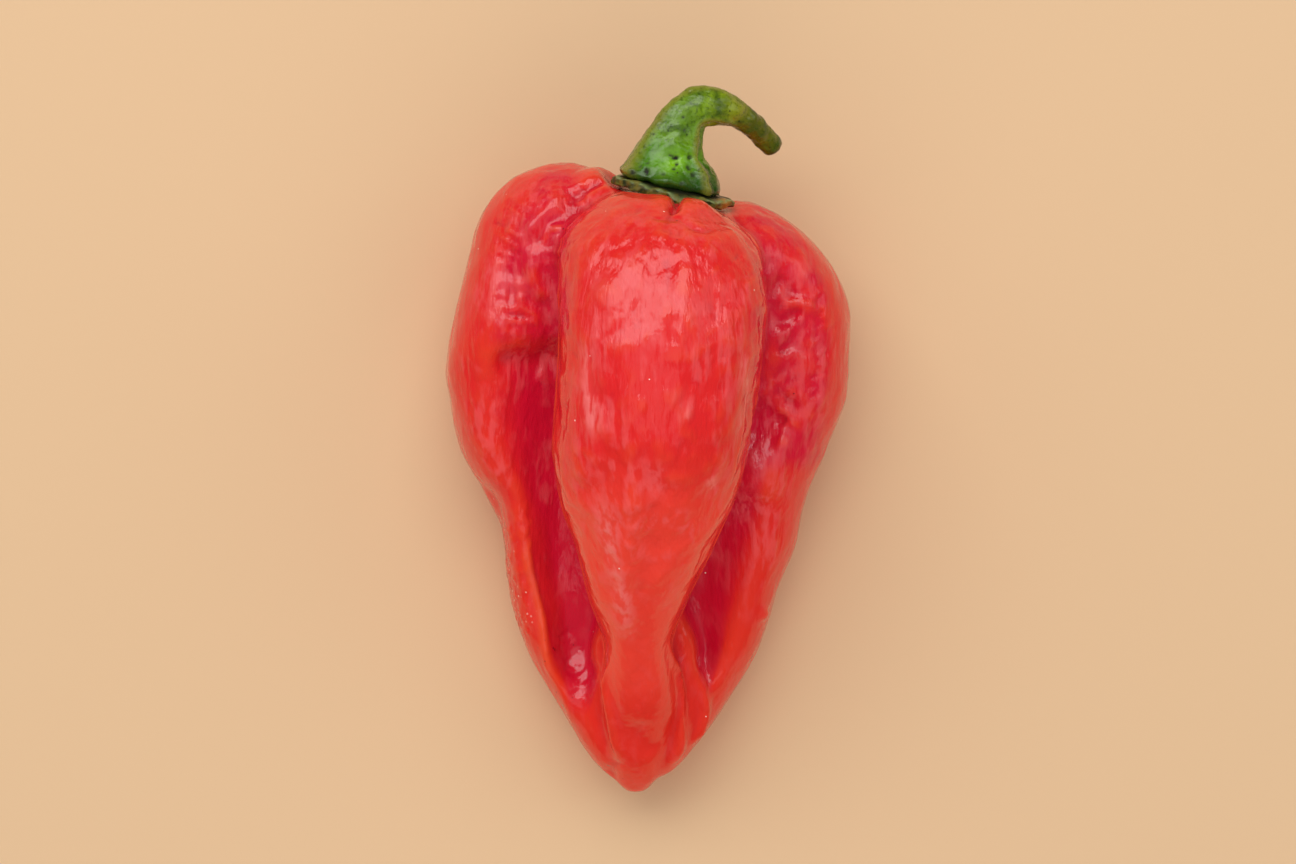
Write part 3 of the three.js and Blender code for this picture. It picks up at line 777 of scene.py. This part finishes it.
def blank_stalk():
    """A straight cylinder with rings along its length and across its two ends."""
    stalk = new_piece(
        "stalk", bpy.ops.mesh.primitive_cylinder_add,
        vertices=STALK_SIDES, radius=1, depth=2, end_fill_type="NGON",
    )
    bpy.ops.object.mode_set(mode="EDIT")
    bpy.ops.mesh.select_mode(type="FACE")
    for end in (-1, 1):
        mesh = bmesh.from_edit_mesh(stalk.data)
        for face in mesh.faces:
            face.select_set(face.normal.z * end > 0.9)
        bmesh.update_edit_mesh(stalk.data)
        for _ in range(STALK_END_RINGS):
            bpy.ops.mesh.inset(thickness=STALK_END_INSET)
        bpy.ops.mesh.poke()
    bpy.ops.mesh.select_mode(type="EDGE")
    mesh = bmesh.from_edit_mesh(stalk.data)
    for edge in mesh.edges:
        edge.select_set(abs(edge.verts[0].co.z - edge.verts[1].co.z) > 1.5)
    bmesh.update_edit_mesh(stalk.data)
    bpy.ops.mesh.subdivide(number_cuts=STALK_RINGS)
    bpy.ops.object.mode_set(mode="OBJECT")
    return stalk


def stalk_centre_line():
    """Even shares of the stalk's length, and the points of its centre line at them."""
    start = from_crown(np.array([[0.0, STALK_START, 0.0]]))[0]
    knots = np.array([start] + [np.array(p) for p in STALK_LINE])
    run = np.concatenate([[0], np.cumsum(np.linalg.norm(np.diff(knots, axis=0), axis=1))])
    run = run / run[-1]
    fine = np.linspace(0, 1, STALK_STATIONS)
    line = np.stack([smooth_through(list(zip(run, knots[:, k])), fine) for k in range(3)], axis=1)
    for _ in range(STALK_EVENING):
        line[1:-1] = (line[:-2] + line[1:-1] * 2 + line[2:]) / 4
    return fine, line


def to_length_one(rows):
    return rows / np.linalg.norm(rows, axis=1)[:, None]


def bend_stalk(stalk):
    """Bends the blank, and says how far along it and how much on a rib each point is."""
    points = read_points(stalk)
    share = (points[:, 2] + 1) / 2
    inside = np.hypot(points[:, 0], points[:, 1])
    turn = np.degrees(np.arctan2(points[:, 0], points[:, 1]))
    fine, line = stalk_centre_line()

    def centre(at):
        return np.stack([np.interp(at, fine, line[:, k]) for k in range(3)], axis=1)

    ahead = centre(np.clip(share + 0.02, 0, 1)) - centre(np.clip(share - 0.02, 0, 1))
    ahead = to_length_one(ahead)
    first = np.array(CROWN.to_3x3() @ Vector((0, 1, 0)))
    settle = ease(share, 0.0, 0.18)[:, None]
    ahead = to_length_one(first * (1 - settle) + ahead * settle)
    front = to_length_one(np.array([0, 0, 1.0]) - ahead[:, 2:3] * ahead)
    right = np.cross(ahead, front)
    ribs = sum(h * bell((turn - t + 180) % 360 - 180, w) for t, w, h in STALK_RIBS)
    strength = 1 - ease(share, 0.45, 0.75) * 0.8
    radius = smooth_through(STALK_RADII, share) * (1 + (ribs - RIB_MIDDLE) * strength)
    radius *= 1 - CUT_ROUNDING * ease(share, 0.985, 1.0)
    side = np.radians(turn)[:, None]
    out = (np.sin(side) * right + np.cos(side) * front) * (radius * inside)[:, None]
    hollow = np.where(share > 0.999, CUT_HOLLOW * ease(1 - inside, 0.05, 0.6), 0)
    write_points(stalk, centre(share) + out - ahead * hollow[:, None])
    return share, np.clip(ribs / RIB_FULL, 0, 1) * strength


def raise_stalk():
    stalk = blank_stalk()
    share, rib = bend_stalk(stalk)
    turn_faces_out(stalk)
    skin = Skin(stalk)
    push = ripples(skin.points, *STALK_SWELLING) * STALK_SWELLING_HEIGHT
    push += ripples(skin.points, *STALK_RIPPLING) * STALK_RIPPLING_HEIGHT
    push += ripples(skin.points, *FOOT_LUMPS) * FOOT_LUMPS_HEIGHT * ease(0.14 - share, 0, 0.1)
    pit = np.zeros(len(push))
    for x, y, radius_x, radius_y, height, darkness in STALK_PITS:
        dent = skin.dimple(x, y, radius_x, radius_y, height)
        push += dent
        pit = np.maximum(pit, darkness * ease(dent / height, 0.12, 0.5))
    for width, height, line in STALK_CREASES:
        push += skin.stroke(width, height, line)
    write_points(stalk, skin.points + skin.normals * push[:, None])
    write_attribute(stalk, "along", share)
    write_attribute(stalk, "rib", rib)
    write_attribute(stalk, "pit", pit)
    fresh = skin.dimple(*FRESH_PATCH)
    write_attribute(stalk, "fresh", fresh * (0.75 + 0.5 * ripples(skin.points, *FRESH_MOTTLING)))
    return stalk


# ---- materials ---------------------------------------------------------------------------

# Ripe skin, from the depths of a furrow to the crests.
# painted shade: crimson where the skin is closed in by its folds
HOLLOW_SHADE_CRIMSON = (0.62, 0.006, 0.034)
OPEN_RED = (0.77, 0.0190, 0.0210)
CLOUDED_RED = (0.76, 0.024, 0.014)
# painted highlight: orange on sharp ridges
CREST_HIGHLIGHT_ORANGE = (0.84, 0.060, 0.020)
# painted shade: crimson in sharp creases
CREASE_SHADE_CRIMSON = (0.50, 0.006, 0.026)
TIP_ORANGE = (0.80, 0.030, 0.013)
# painted shade: crimson in the side valleys
VALLEY_SHADE_CRIMSON = (0.66, 0.0075, 0.036)
# painted shade: crimson on the furrow floors
FURROW_SHADE_CRIMSON = (0.64, 0.0055, 0.036)
# painted light: a brighter orange on the lower front lobe, which the lamps light less
LOW_FRONT_LIGHT_ORANGE = (0.93, 0.060, 0.034)
# painted highlight: a bright orange line along the lobe edges and the flange edge
EDGE_HIGHLIGHT_ORANGE = (0.88, 0.115, 0.035)
# painted sheen: the paler pink of the wax patches
BLOOM_SHEEN_PINK = (0.90, 0.140, 0.145)
# painted sheen: the pale pink streaks on the front lobe
SHEEN_STREAK_PINK = (0.94, 0.230, 0.210)
PIMPLE_CREAM = (0.92, 0.42, 0.33)
PALE_SPECK_CREAM = (0.93, 0.75, 0.66)
FRECKLE_BROWN = (0.10, 0.004, 0.008)
GRIT_BLACK = (0.030, 0.006, 0.006)

# Green stalk from its foot to its cut end: (share of the length, colour).
STALK_BANDS = [
    (0.0, (0.014, 0.040, 0.002)), (0.045, (0.018, 0.080, 0.002)), (0.10, (0.030, 0.140, 0.002)),
    (0.17, (0.070, 0.240, 0.003)), (0.26, (0.140, 0.290, 0.008)), (0.36, (0.125, 0.250, 0.014)),
    (0.47, (0.185, 0.320, 0.006)), (0.58, (0.230, 0.300, 0.008)), (0.67, (0.230, 0.240, 0.010)),
    (0.76, (0.095, 0.105, 0.004)), (0.88, (0.150, 0.145, 0.004)), (0.97, (0.095, 0.115, 0.002)),
    (1.0, (0.140, 0.100, 0.020)),
]
BLOTCH_GREEN = (0.020, 0.058, 0.005)
RIB_OLIVE = (0.215, 0.220, 0.022)
FLECK_GREEN = (0.016, 0.040, 0.003)
FRESH_GREEN = (0.230, 0.520, 0.006)
STALK_FRECKLE = (0.014, 0.028, 0.004)
PIT_BLACK = (0.008, 0.006, 0.004)

# Drying calyx.
CALYX_GREEN = (0.016, 0.026, 0.003)
CALYX_OLIVE = (0.135, 0.115, 0.010)
DRIED_AMBER = (0.420, 0.190, 0.025)
LIP_GREEN = (0.230, 0.300, 0.110)
CALYX_SHADE = (0.008, 0.009, 0.003)

# Sockets of a mix by what it mixes: the two that go in, and the one that comes out.
MIX_SOCKETS = {"RGBA": (6, 7, 2), "FLOAT": (2, 3, 0)}
SPECULAR, DRY_SPECULAR = 0.45, 0.35
SPECK_CORE = 0.6              # share of a speck's radius that is full strength
SPECK_CUT = 0.98              # how sharply a place is chosen for a speck


class Finish:
    """A material while its nodes are laid. Each step gives the output that the next one takes."""

    def __init__(self, name, colour=None):
        self.colour = colour
        self.material = bpy.data.materials.new(name)
        self.material.use_nodes = True
        self.nodes = self.material.node_tree.nodes
        self.shader = self.nodes["Principled BSDF"].inputs
        self.place = self.nodes.new("ShaderNodeTexCoord").outputs["Object"]

    def feed(self, socket, value):
        """Puts another step's output, a colour or a number on a socket."""
        if isinstance(value, bpy.types.NodeSocket):
            self.material.node_tree.links.new(value, socket)
        else:
            socket.default_value = (*value, 1) if isinstance(value, tuple) else value

    def mark(self, name):
        """The value that the piece carries under a name at each of its points."""
        node = self.nodes.new("ShaderNodeAttribute")
        node.attribute_name = name
        return node.outputs["Fac"]

    def mix(self, factor, low, high, kind="RGBA"):
        node = self.nodes.new("ShaderNodeMix")
        node.data_type = kind
        from_low, from_high, mixed = MIX_SOCKETS[kind]
        self.feed(node.inputs["Factor"], factor)
        self.feed(node.inputs[from_low], low)
        self.feed(node.inputs[from_high], high)
        return node.outputs[mixed]

    def tint(self, factor, colour):
        """Lays one more colour over those so far."""
        self.colour = self.mix(factor, self.colour, colour)

    def combine(self, first, second, operation="MULTIPLY"):
        node = self.nodes.new("ShaderNodeMath")
        node.operation = operation
        self.feed(node.inputs[0], first)
        self.feed(node.inputs[1], second)
        return node.outputs["Value"]

    def remap(self, value, low, high, to_low=0.0, to_high=1.0):
        """Stretches low to high onto to_low to to_high, and goes no further at either end."""
        node = self.nodes.new("ShaderNodeMapRange")
        settings = (value, low, high, to_low, to_high)
        for socket, setting in zip(("Value", "From Min", "From Max", "To Min", "To Max"), settings):
            self.feed(node.inputs[socket], setting)
        return node.outputs["Result"]

    def grain(self, size, detail=4.0, stretch=(1, 1, 1), distortion=0.0, turn=0):
        """Noise on Object coordinates, whose waves are `size` millimetres long."""
        mapping = self.nodes.new("ShaderNodeMapping")
        mapping.inputs["Scale"].default_value = stretch
        mapping.inputs["Rotation"].default_value = (0, 0, math.radians(turn))
        self.feed(mapping.inputs["Vector"], self.place)
        texture = self.nodes.new("ShaderNodeTexNoise")
        self.feed(texture.inputs["Vector"], mapping.outputs["Vector"])
        self.feed(texture.inputs["Scale"], 1 / (size * MM))
        self.feed(texture.inputs["Detail"], detail)
        self.feed(texture.inputs["Distortion"], distortion)
        return texture.outputs["Fac"]

    def bump(self, height, distance, strength, under=None):
        node = self.nodes.new("ShaderNodeBump")
        self.feed(node.inputs["Height"], height)
        self.feed(node.inputs["Distance"], distance * MM)
        self.feed(node.inputs["Strength"], strength)
        if under is not None:
            self.feed(node.inputs["Normal"], under)
        return node.outputs["Normal"]

    def specks(self, spacing, radius, share):
        """1 inside round specks scattered `spacing` apart, in a share of the places only."""
        cells = self.nodes.new("ShaderNodeTexVoronoi")
        self.feed(cells.inputs["Vector"], self.place)
        self.feed(cells.inputs["Scale"], 1 / (spacing * MM))
        edge = radius / spacing
        dot = self.remap(cells.outputs["Distance"], edge, edge * SPECK_CORE)
        pick = self.nodes.new("ShaderNodeSeparateColor")
        self.feed(pick.inputs["Color"], cells.outputs["Color"])
        chosen = self.remap(pick.outputs["Red"], share, share * SPECK_CUT)
        return self.combine(dot, chosen)

    def done(self, roughness, specular=None, normal=None):
        """Puts the colour and the gloss on the shader, and gives the material."""
        settings = (self.colour, roughness, specular, normal)
        names = ("Base Color", "Roughness", "Specular IOR Level", "Normal")
        for name, setting in zip(names, settings):
            if setting is not None:
                self.feed(self.shader[name], setting)
        return self.material


def skin_material():
    skin = Finish("ripe_skin")

    # painted shade: the red deepens to crimson where the skin is closed in by its own folds, and in
    # sharp creases; painted highlight: orange on sharp ridges
    depth = skin.remap(skin.mark("openness"), 0.2, 0.75)
    skin.colour = skin.mix(depth, HOLLOW_SHADE_CRIMSON, OPEN_RED)
    cloud = skin.remap(skin.grain(5.0, detail=5.0), 0.42, 0.68, 0, 0.5)
    skin.tint(cloud, CLOUDED_RED)
    crest = skin.mark("crest")
    # painted highlight on the ridges and painted shade in the creases
    skin.tint(skin.remap(crest, 0.25, 1.0, 0, 0.55), CREST_HIGHLIGHT_ORANGE)
    skin.tint(skin.remap(crest, -0.2, -1.0, 0, 0.6), CREASE_SHADE_CRIMSON)

    # warmer towards the tip; painted shade: crimson in the valleys and furrows; painted highlight:
    # orange on the lower front and at the edges
    axes = skin.nodes.new("ShaderNodeSeparateXYZ")
    skin.feed(axes.inputs["Vector"], skin.place)
    toward_tip = skin.remap(axes.outputs["Y"], 0.0, -22 * MM, 0, 0.7)
    skin.tint(skin.combine(toward_tip, depth), TIP_ORANGE)
    uneven = skin.remap(skin.grain(2.6), 0.38, 0.62, 0.25, 1.0)
    valley = skin.combine(skin.mark("valley"), uneven)
    skin.tint(skin.remap(valley, 0.1, 0.9, 0, 0.85), VALLEY_SHADE_CRIMSON)
    furrow = skin.remap(skin.mark("furrow"), 0.2, 1, 0, 0.8)
    skin.tint(furrow, FURROW_SHADE_CRIMSON)
    low_front = skin.remap(skin.mark("low_front"), 0, 1, 0, 0.75)
    # painted light on the lower front lobe
    skin.tint(low_front, LOW_FRONT_LIGHT_ORANGE)
    # painted highlight: a bright line along the lower edges of the front lobe and the flange edge
    skin.tint(skin.remap(skin.mark("edge"), 0, 1, 0, 0.5), EDGE_HIGHLIGHT_ORANGE)

    # feathered wisps of wax patches: their roughness is real and their paler pink is painted sheen,
    # faint where the skin is steep and on the lower half; then pale streaks of painted sheen
    leaning, crossing = [
        skin.grain(0.8, detail=6.0, stretch=(1, 0.2, 1), turn=turn) for turn in (-32, 24)
    ]
    choice = skin.remap(skin.grain(7.0, detail=2.0), 0.45, 0.55)
    feather = skin.mix(choice, leaning, crossing, kind="FLOAT")
    patch = skin.remap(skin.grain(4.2, detail=3.0, distortion=0.4), 0.44, 0.56)
    bloom_and_sheen = skin.combine(patch, skin.remap(feather, 0.46, 0.57))
    steep = skin.mark("steep")
    bloom_and_sheen = skin.combine(bloom_and_sheen, skin.remap(steep, 0.0, 0.9, 1.0, 0.15))
    # painted sheen on the wax patches
    skin.tint(skin.remap(bloom_and_sheen, 0, 1, 0, 0.30), BLOOM_SHEEN_PINK)
    painted_sheen = skin.combine(skin.mark("painted_sheen"), skin.remap(feather, 0.44, 0.56, 0.1, 0.5))
    # painted sheen along the streaks
    skin.tint(painted_sheen, SHEEN_STREAK_PINK)

    # pimples on the flange, pale specks, freckles and caught grit
    pimples = skin.combine(skin.specks(0.42, 0.12, 0.55), skin.mark("flange"))
    skin.tint(pimples, PIMPLE_CREAM)
    # pale cream specks scattered over the skin
    skin.tint(skin.specks(1.3, 0.085, 0.10), PALE_SPECK_CREAM)
    skin.tint(skin.specks(2.6, 0.09, 0.10), FRECKLE_BROWN)
    grit = skin.combine(skin.specks(0.8, 0.15, 0.3), skin.mark("soiled"))
    skin.tint(grit, GRIT_BLACK)

    # gloss
    streak = skin.grain(2.1, detail=3.0, stretch=(1, 0.5, 1), distortion=0.3)
    waves = skin.bump(streak, 0.34, 0.7)
    wisps = skin.bump(feather, 0.22, skin.remap(steep, 0.0, 1.0, 0.9, 0.15), under=waves)
    pores = skin.bump(skin.grain(0.20, detail=3.0), 0.006, 0.6, under=wisps)
    return skin.done(skin.remap(bloom_and_sheen, 0, 1, 0.11, 0.27), SPECULAR, pores)


def stalk_material():
    green = Finish("green_stalk")
    ramp = green.nodes.new("ShaderNodeValToRGB")
    green.feed(ramp.inputs["Fac"], green.mark("along"))
    stops = ramp.color_ramp.elements
    stops[1].position = STALK_BANDS[-1][0]
    for position, _ in STALK_BANDS[1:-1]:
        stops.new(position)
    for stop, (_, colour) in zip(stops, STALK_BANDS):
        stop.color = (*colour, 1)
    blotch = green.grain(1.4, detail=6.0, distortion=0.5)
    green.colour = ramp.outputs["Color"]
    green.tint(green.remap(blotch, 0.42, 0.70, 0, 0.8), BLOTCH_GREEN)
    green.tint(green.remap(green.mark("rib"), 0.25, 0.9, 0, 0.8), RIB_OLIVE)
    green.tint(green.remap(green.grain(0.26), 0.54, 0.68, 0, 0.55), FLECK_GREEN)
    green.tint(green.mark("fresh"), FRESH_GREEN)
    green.tint(green.specks(0.8, 0.10, 0.35), STALK_FRECKLE)
    pit = green.mark("pit")
    green.tint(pit, PIT_BLACK)

    fine = green.grain(0.5, detail=5.0)
    satin = green.remap(fine, 0.35, 0.65, 0.10, 0.32)
    dull = green.remap(pit, 0.0, 0.8, 0, 0.6)
    coarse = green.bump(blotch, 0.20, 0.5)
    relief = green.bump(fine, 0.06, 0.8, under=coarse)
    return green.done(green.combine(satin, dull, operation="ADD"), SPECULAR, relief)


def calyx_material():
    calyx = Finish("dry_calyx")
    blotch = calyx.grain(0.7, detail=6.0)
    calyx.colour = calyx.mix(calyx.remap(blotch, 0.42, 0.60), CALYX_GREEN, CALYX_OLIVE)
    calyx.tint(calyx.mark("dried"), DRIED_AMBER)
    torn = calyx.remap(blotch, 0.44, 0.58, 0.9, 0.2)
    calyx.tint(calyx.combine(calyx.mark("lip"), torn), LIP_GREEN)
    inner = calyx.remap(calyx.mark("rim"), 0.93, 0.86)
    calyx.tint(inner, CALYX_SHADE)
    dull = calyx.remap(blotch, 0.3, 0.7, 0.28, 0.5)
    return calyx.done(dull, DRY_SPECULAR, calyx.bump(blotch, 0.15, 0.8))


# ---- stage -------------------------------------------------------------------------------

# Lengths in this part are metres.
FLOOR_SIZE = 3.0
FLOOR_TAN, FLOOR_ROUGHNESS = (0.745, 0.495, 0.284), 0.8
CAMERA_PLACE = (-0.00005, 0.00064, 0.341)
CAMERA_CLIP = (0.01, 10)
LENS_MM, SENSOR_MM = 100, 36
WORLD_STRENGTH = 0.08
LAMP_AIM = (0, 0, 0.01)
# Soft lamps: name: (place, sides, watts, whether the pepper's gloss mirrors it).
SOFTBOXES = {
    "key_softbox": ((-0.08, 0.36, 0.47), (0.66, 0.40), 2.6, True),
    "overhead_softbox": ((-0.02, 0.01, 0.80), (0.64, 0.56), 0.76, True),
    "left_softbox": ((-0.46, 0.24, 0.36), (0.36, 0.36), 0.42, True),
    "right_softbox": ((0.46, 0.20, 0.36), (0.36, 0.36), 0.42, True),
    "left_fill": ((-0.52, -0.05, 0.34), (0.5, 0.4), 0.30, False),
    "right_fill": ((0.55, -0.05, 0.34), (0.5, 0.4), 0.40, False),
    "front_fill": ((0.02, -0.58, 0.46), (1.2, 0.6), 3.1, False),
}


def lay_floor():
    floor = new_piece("floor", bpy.ops.mesh.primitive_plane_add, size=FLOOR_SIZE)
    matte = Finish("pale_floor", FLOOR_TAN)
    floor.data.materials.append(matte.done(FLOOR_ROUGHNESS))


def set_camera():
    camera = bpy.data.objects.new("camera", bpy.data.cameras.new("camera"))
    bpy.context.scene.collection.objects.link(camera)
    camera.location = CAMERA_PLACE
    camera.data.lens = LENS_MM
    camera.data.sensor_width = SENSOR_MM
    camera.data.clip_start, camera.data.clip_end = CAMERA_CLIP
    bpy.context.scene.camera = camera


def light_studio():
    for name, (place, sides, watts, mirrored) in SOFTBOXES.items():
        light = bpy.data.objects.new(name, bpy.data.lights.new(name, "AREA"))
        light.data.shape = "RECTANGLE"
        light.data.size, light.data.size_y = sides
        light.data.energy = watts
        light.location = place
        light.visible_glossy = mirrored
        aim = Vector(LAMP_AIM) - Vector(place)
        light.rotation_euler = aim.to_track_quat("-Z", "Y").to_euler()
        bpy.context.scene.collection.objects.link(light)
    world = bpy.data.worlds.new("studio")
    bpy.context.scene.world = world
    world.use_nodes = True
    world.node_tree.nodes["Background"].inputs["Color"].default_value = (1, 1, 1, 1)
    world.node_tree.nodes["Background"].inputs["Strength"].default_value = WORLD_STRENGTH
    bpy.context.scene.view_settings.view_transform = "Standard"


# ---- what the skin's colours go by -------------------------------------------------------

OPENNESS_STRIDE = 7           # one point in this many sends out rays
OPENNESS_RAYS = 20
OPENNESS_SPREAD = 0.85        # 0 sends them straight out, 1 over the whole half sphere
OPENNESS_START = 0.3          # how far off the skin they start
OPENNESS_REACH = 14.0         # how far they go
OPENNESS_NEIGHBOURS = 4       # points whose values are averaged
CREST_PASSES = 24             # spread of the evening-out that a ridge is measured against
CREST_LIFT = 0.12             # how far a full ridge stands out from it

# Streaks of painted sheen on the front lobe, pale pink on the skin: (width, line).
PAINTED_SHEEN_STREAKS = [
    (0.9, [(-4.3, -4.0), (-3.5, -9.0), (-2.4, -14.0), (-1.7, -19.0)]),
    (0.9, [(-5.6, 9.5), (-5.2, 4.5), (-4.7, -1.0)]),
    (0.6, [(2.5, 4.8), (3.3, 1.2)]),
    (0.7, [(7.8, 8.5), (8.5, 4.5), (7.9, -0.5)]),
    (0.5, [(5.6, -3.0), (5.2, -5.6)]),
]
# Where grit has caught in the skin: (x, y, radius), and how thick it lies.
SOILED = [
    (-8.0, -20.8, 1.7), (-7.0, -24.0, 1.2), (-3.4, -30.6, 0.9), (3.4, 18.8, 1.3), (6.0, 20.0, 0.9),
]
SOIL_STRENGTH = 1.6
FLANGE_PATCHES = (2.2, 1.9)   # length of the waves in the flange's pimples, place in the noise
# where the painted highlight line runs round the front lobe, in degrees above its side, and how
# wide it and the flange's line are
ORANGE_TURN, ORANGE_WIDTH = 4, 8
FLANGE_ORANGE_WIDTH = 0.45


def measure_openness(pod):
    """0 deep in a furrow and 1 on a crest, by how many rays leave the skin without meeting it."""
    points = read_points(pod)
    normals = read_normals(pod)
    tree = surface_tree(pod, points)
    chosen = np.arange(0, len(points), OPENNESS_STRIDE)
    golden = math.pi * (3 - math.sqrt(5))
    spread = []
    for i in range(OPENNESS_RAYS):
        lift = 1 - (i + 0.5) / OPENNESS_RAYS * OPENNESS_SPREAD
        flat = math.sqrt(1 - lift * lift)
        spread.append((flat * math.cos(golden * i), flat * math.sin(golden * i), lift))
    found = KDTree(len(chosen))
    values = np.empty(len(chosen))
    for row, index in enumerate(chosen):
        normal = Vector(normals[index])
        start = Vector(points[index]) + normal * OPENNESS_START
        turn = normal.to_track_quat("Z", "Y")
        clear = 0
        for ray in spread:
            if tree.ray_cast(start, turn @ Vector(ray), OPENNESS_REACH)[0] is None:
                clear += 1
        values[row] = clear / len(spread)
        found.insert(points[index], row)
    found.balance()
    openness = np.empty(len(points))
    for index, point in enumerate(points):
        hits = found.find_n(point, OPENNESS_NEIGHBOURS)
        openness[index] = sum(values[hit[1]] for hit in hits) / len(hits)
    return openness


def measure_crest(pod):
    """1 on a sharp ridge, 0 on an even skin and -1 in a sharp crease."""
    points = read_points(pod)
    normals = read_normals(pod)
    edges = np.empty(len(pod.data.edges) * 2, int)
    pod.data.edges.foreach_get("vertices", edges)
    a, b = edges.reshape(-1, 2).T
    count = np.bincount(a, minlength=len(points)) + np.bincount(b, minlength=len(points))
    even = points.copy()
    for _ in range(CREST_PASSES):
        gathered = np.stack(
            [
                np.bincount(a, even[b, k], len(points)) + np.bincount(b, even[a, k], len(points))
                for k in range(3)
            ],
            axis=1,
        )
        even = even * 0.5 + gathered / count[:, None] * 0.5
    lift = np.einsum("ij,ij->i", points - even, normals)
    return np.clip(lift / CREST_LIFT, -1, 1)


def mark_pod(pod, valley):
    """Writes what the skin's colours go by onto the pod's points."""
    points, normals = read_points(pod), read_normals(pod)
    x, y, z = points.T
    up = ease(normals[:, 2], -0.2, 0.3)
    crest = measure_crest(pod)
    steep = 1 - ease(np.abs(normals[:, 2]), 0.35, 0.75)
    outside = ease(-x - 10.7 - 0.27 * (y + 14), 0, 0.7)
    patchy = ease(ripples(points, *FLANGE_PATCHES), -0.35, 0.25)
    along = ease(-y, 5.5, 9.5) * ease(19.0 + y, 0, 5)
    soiled = np.zeros(len(x))
    for spot_x, spot_y, radius in SOILED:
        soiled += np.exp(-((x - spot_x) ** 2 + (y - spot_y) ** 2) / radius**2) * up
    nearness, turn = front_lobe_turn(points)
    skin = Skin(pod)
    # painted highlight along the front lobe's edges and the flange edge
    edge = nearness * bell(turn - ORANGE_TURN, ORANGE_WIDTH) * ease(crest, -0.5, 0.3)
    edge += skin.stroke(FLANGE_ORANGE_WIDTH, 1.0, STROKES["flange_edge"][2])
    painted_sheen = sum(skin.stroke(width, 1.0, line) for width, line in PAINTED_SHEEN_STREAKS)
    marks = {
        # how open the skin is, which the painted shade in its hollows goes by
        "openness": measure_openness(pod),
        "crest": crest,
        # the side valleys, which carry painted shade
        "valley": valley,
        # steep skin, and the lower half towards the tip, where the painted sheen and its wisps fade
        "steep": np.maximum(steep, 0.75 * ease(-y, 8, 17)),
        # the furrow floors, which carry painted shade
        "furrow": furrow_depth(points, normals),
        "flange": outside * along * up * patchy * ease(z, 3.0, 6.0),
        "soiled": np.clip(soiled * SOIL_STRENGTH, 0, 1),
        "painted_sheen": np.clip(painted_sheen, 0, 1) * up,
        # the lower front lobe, which is painted lighter
        "low_front": nearness * up * ease(-y, 0.5, 8) * ease(y + 27, 0, 7),
        "edge": np.clip(edge, 0, 1),
    }
    for name, values in marks.items():
        write_attribute(pod, name, values)


# ---- assembly ----------------------------------------------------------------------------


def finish_piece(piece, node, material):
    write_points(piece, read_points(piece) * MM)
    piece.data.materials.clear()
    piece.data.materials.append(material)
    make_active(piece)
    bpy.ops.object.shade_smooth()
    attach(piece, "root")
    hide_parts(node)


def main():
    lay_floor()
    set_camera()
    light_studio()
    pod = grow_pod()
    sculpt_pod(pod)
    valley = wrinkle_pod(pod)
    seat_crown(pod)
    settle_pod(pod)
    mark_pod(pod, valley)
    finish_piece(pod, "pod", skin_material())
    finish_piece(grow_calyx(), "calyx", calyx_material())
    finish_piece(raise_stalk(), "stem", stalk_material())


main()
